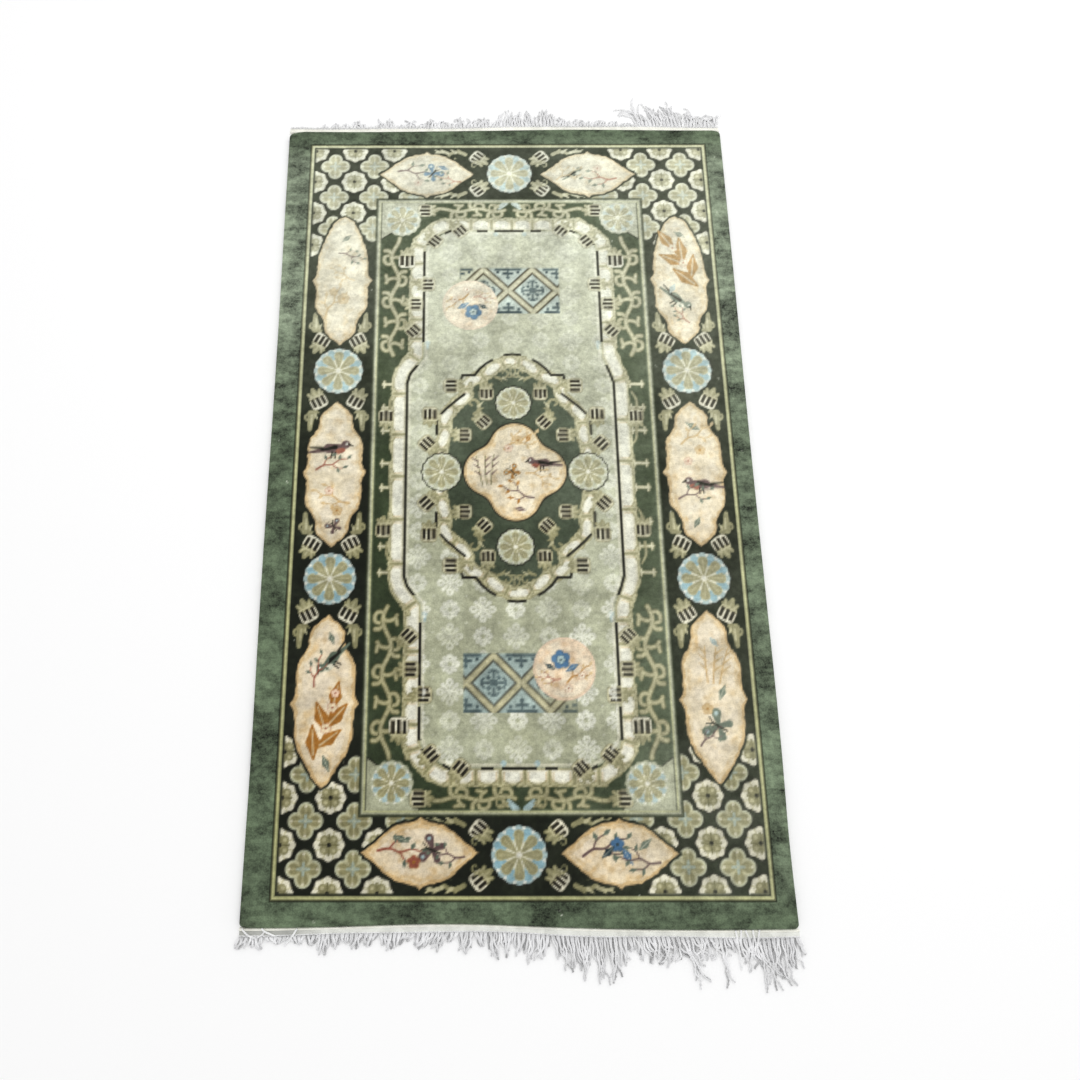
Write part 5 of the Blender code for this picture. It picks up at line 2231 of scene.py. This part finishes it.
@dataclass(frozen=True)
class Studio:
    """A plain pale floor, soft light and the camera of the photograph."""

    floor_size: float = 14.0
    sky: float = 0.89
    softbox_power: float = 26.0
    softbox_size: float = 3.0
    softbox_place: tuple[float, float, float] = (0.9, 1.3, 2.6)
    camera_place: tuple[float, float, float] = (-0.0951, -0.4676, 1.3681)
    camera_turn: tuple[float, float, float] = (14.2338, 0.1402, -0.0316)
    lens: float = 25.445
    sensor: float = 36.0
    shift_x: float = 0.0753

    def build(self) -> None:
        """Builds the floor, the lights and the camera."""
        half = self.floor_size / 2
        mesh = bpy.data.meshes.new("floor")
        corners_of_floor = [(x * half, y * half, 0) for x, y in ((-1, -1), (1, -1), (1, 1), (-1, 1))]
        mesh.from_pydata(corners_of_floor, [], [(0, 1, 2, 3)])
        mesh.materials.append(PaleFloor().make("pale_floor"))
        floor = bpy.data.objects.new("floor", mesh)
        bpy.context.scene.collection.objects.link(floor)
        self.light()
        camera = bpy.data.cameras.new("camera")
        camera.lens, camera.sensor_width, camera.shift_x = self.lens, self.sensor, self.shift_x
        camera.clip_start, camera.clip_end = 0.01, 50.0
        seen = bpy.data.objects.new("camera", camera)
        seen.location = self.camera_place
        seen.rotation_euler = [math.radians(a) for a in self.camera_turn]
        bpy.context.scene.collection.objects.link(seen)
        bpy.context.scene.camera = seen

    def light(self) -> None:
        """Sets a white sky and one large soft box beyond the rug's far end."""
        world = bpy.data.worlds.new("white_sky")
        world.use_nodes = True
        background = world.node_tree.nodes["Background"]
        background.inputs["Color"].default_value = (1.0, 1.0, 1.0, 1.0)
        background.inputs["Strength"].default_value = self.sky
        bpy.context.scene.world = world
        lamp = bpy.data.lights.new("softbox", "AREA")
        lamp.energy, lamp.size = self.softbox_power, self.softbox_size
        box = bpy.data.objects.new("softbox", lamp)
        box.location = self.softbox_place
        box.rotation_euler = box.location.to_track_quat("Z", "Y").to_euler()
        bpy.context.scene.collection.objects.link(box)
        bpy.context.scene.view_settings.view_transform = "Standard"


NEAR_TUFTS = (
    Tuft(-450, 8, 24, -12, 0.8), Tuft(-428, 12, 21, 0, 0.8), Tuft(-395, 22, 14), Tuft(-362, 14, 15),
    Tuft(-338, 10, 19, -2), Tuft(-318, 9, 32, -3), Tuft(-300, 8, 25), Tuft(-282, 9, 17), Tuft(-262, 10, 27, -10),
    Tuft(-243, 9, 23, -8), Tuft(-206, 16, 29, -4), Tuft(-183, 11, 22, -10), Tuft(-152, 14, 28, -14),
    Tuft(-126, 13, 31, -15), Tuft(-106, 8, 18, -10), Tuft(-84, 13, 38, -9), Tuft(-62, 10, 24),
    Tuft(-42, 8, 47, 4), Tuft(-20, 7, 38, -4), Tuft(4, 8, 39, -4), Tuft(22, 7, 47, -8), Tuft(38, 9, 46, -9),
    Tuft(66, 10, 60, 19), Tuft(86, 8, 55, 9), Tuft(106, 11, 69, 7), Tuft(130, 10, 77, 12), Tuft(149, 9, 73, 12),
    Tuft(164, 7, 48, 8), Tuft(180, 6, 25, 6), Tuft(196, 10, 38, 14, 0.6), Tuft(215, 10, 47, 14, 0.9),
    Tuft(234, 10, 52, 20, 1.3), Tuft(254, 10, 49, 24, 1.1), Tuft(272, 7, 83, 28, 0.3), Tuft(290, 10, 47, 24, 1.8),
    Tuft(312, 12, 47, 16, 2.4), Tuft(330, 4, 81, 10, 0.2), Tuft(345, 9, 27, 12), Tuft(362, 9, 41, 18, 0.5),
    Tuft(376, 8, 58, 7, 0.7), Tuft(396, 10, 83, 12, 0.6), Tuft(412, 10, 83, 12, 0.8), Tuft(430, 8, 74, 5, 0.6),
    Tuft(443, 7, 54, 6, 0.5), Tuft(453, 4, 33, 12, 0.4),
)
FAR_TUFTS = (
    Tuft(-430, 35, 6), Tuft(-385, 12, 13), Tuft(-362, 14, 16), Tuft(-340, 9, 16), Tuft(-322, 8, 21, 4),
    Tuft(-302, 8, 29, -14, 0.6), Tuft(-284, 7, 8), Tuft(-267, 7, 26, 5, 0.6), Tuft(-240, 10, 26, -14, 0.9),
    Tuft(-228, 4, 7), Tuft(-202, 13, 29, 0, 1.6), Tuft(-178, 10, 20, 6, 1.2), Tuft(-146, 14, 30, 0, 1.6),
    Tuft(-122, 9, 20, 6), Tuft(-95, 13, 30, 0, 0.8), Tuft(-70, 12, 28, 3, 0.8), Tuft(-45, 12, 31, 2, 0.8),
    Tuft(-14, 9, 43, 10), Tuft(5, 8, 50, 4), Tuft(30, 10, 46, -4), Tuft(58, 8, 47, -16), Tuft(75, 8, 41, -2),
    Tuft(89, 8, 50, -3), Tuft(105, 8, 36, -6), Tuft(125, 14, 28, 0, 0.9), Tuft(165, 16, 26, 0, 0.9),
    Tuft(200, 15, 21, 4, 0.9), Tuft(230, 13, 16, 4, 0.9), Tuft(262, 17, 12, 0, 0.9), Tuft(292, 8, 83, -42, 1.0),
    Tuft(308, 7, 38, -8, 0.9), Tuft(323, 8, 83, -20, 0.4), Tuft(342, 8, 54, -14, 0.6), Tuft(360, 8, 74, -18, 0.5),
    Tuft(374, 7, 63, -14, 0.6), Tuft(387, 7, 47, -10, 0.8), Tuft(403, 10, 61, 0, 1.3), Tuft(420, 8, 44, 0, 1.2),
    Tuft(436, 8, 36, -3, 1.2), Tuft(450, 7, 47, 2, 0.9), Tuft(457, 4, 40, 8, 0.9),
)
NEAR_LOOSE = (
    (0.352, 0.05, 18.0, 0.060, -0.6), (0.361, 0.02, -8.0, 0.055, 1.1), (0.368, 0.04, 34.0, 0.062, -1.4),
    (0.380, 0.03, 10.0, 0.070, 0.9), (0.391, 0.02, -30.0, 0.050, 1.8), (-0.452, 0.05, 70.0, 0.050, 1.0),
    (-0.420, 0.04, 84.0, 0.046, -0.8), (-0.362, 0.10, -60.0, 0.034, 1.2),
)


def corners(box: tuple) -> list[list[float]]:
    """A box's two corners as plain lists of numbers."""
    return [[float(value) for value in corner] for corner in box]


def main() -> None:
    """Loads the frame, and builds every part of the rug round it."""
    logging.basicConfig(level=logging.INFO, format="%(message)s")
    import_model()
    Studio().build()
    near = FringedEnd(-1, "near", 11, NEAR_TUFTS, Yarn.WEFT_GREY, loose=NEAR_LOOSE)
    far = FringedEnd(1, "far", 12, FAR_TUFTS, Yarn.WEFT_CREAM, broken=0.35, under_shade=0.92,
                     root_shade=0.0, tip_shade=0.05, curl_shadow=0.0)
    for part in (PileBody(), near, far):
        for piece in part.build():
            piece.data.calc_loop_triangles()
            LOG.info("%s: %d triangles", piece.name, len(piece.data.loop_triangles))


if __name__ == "__main__":
    main()
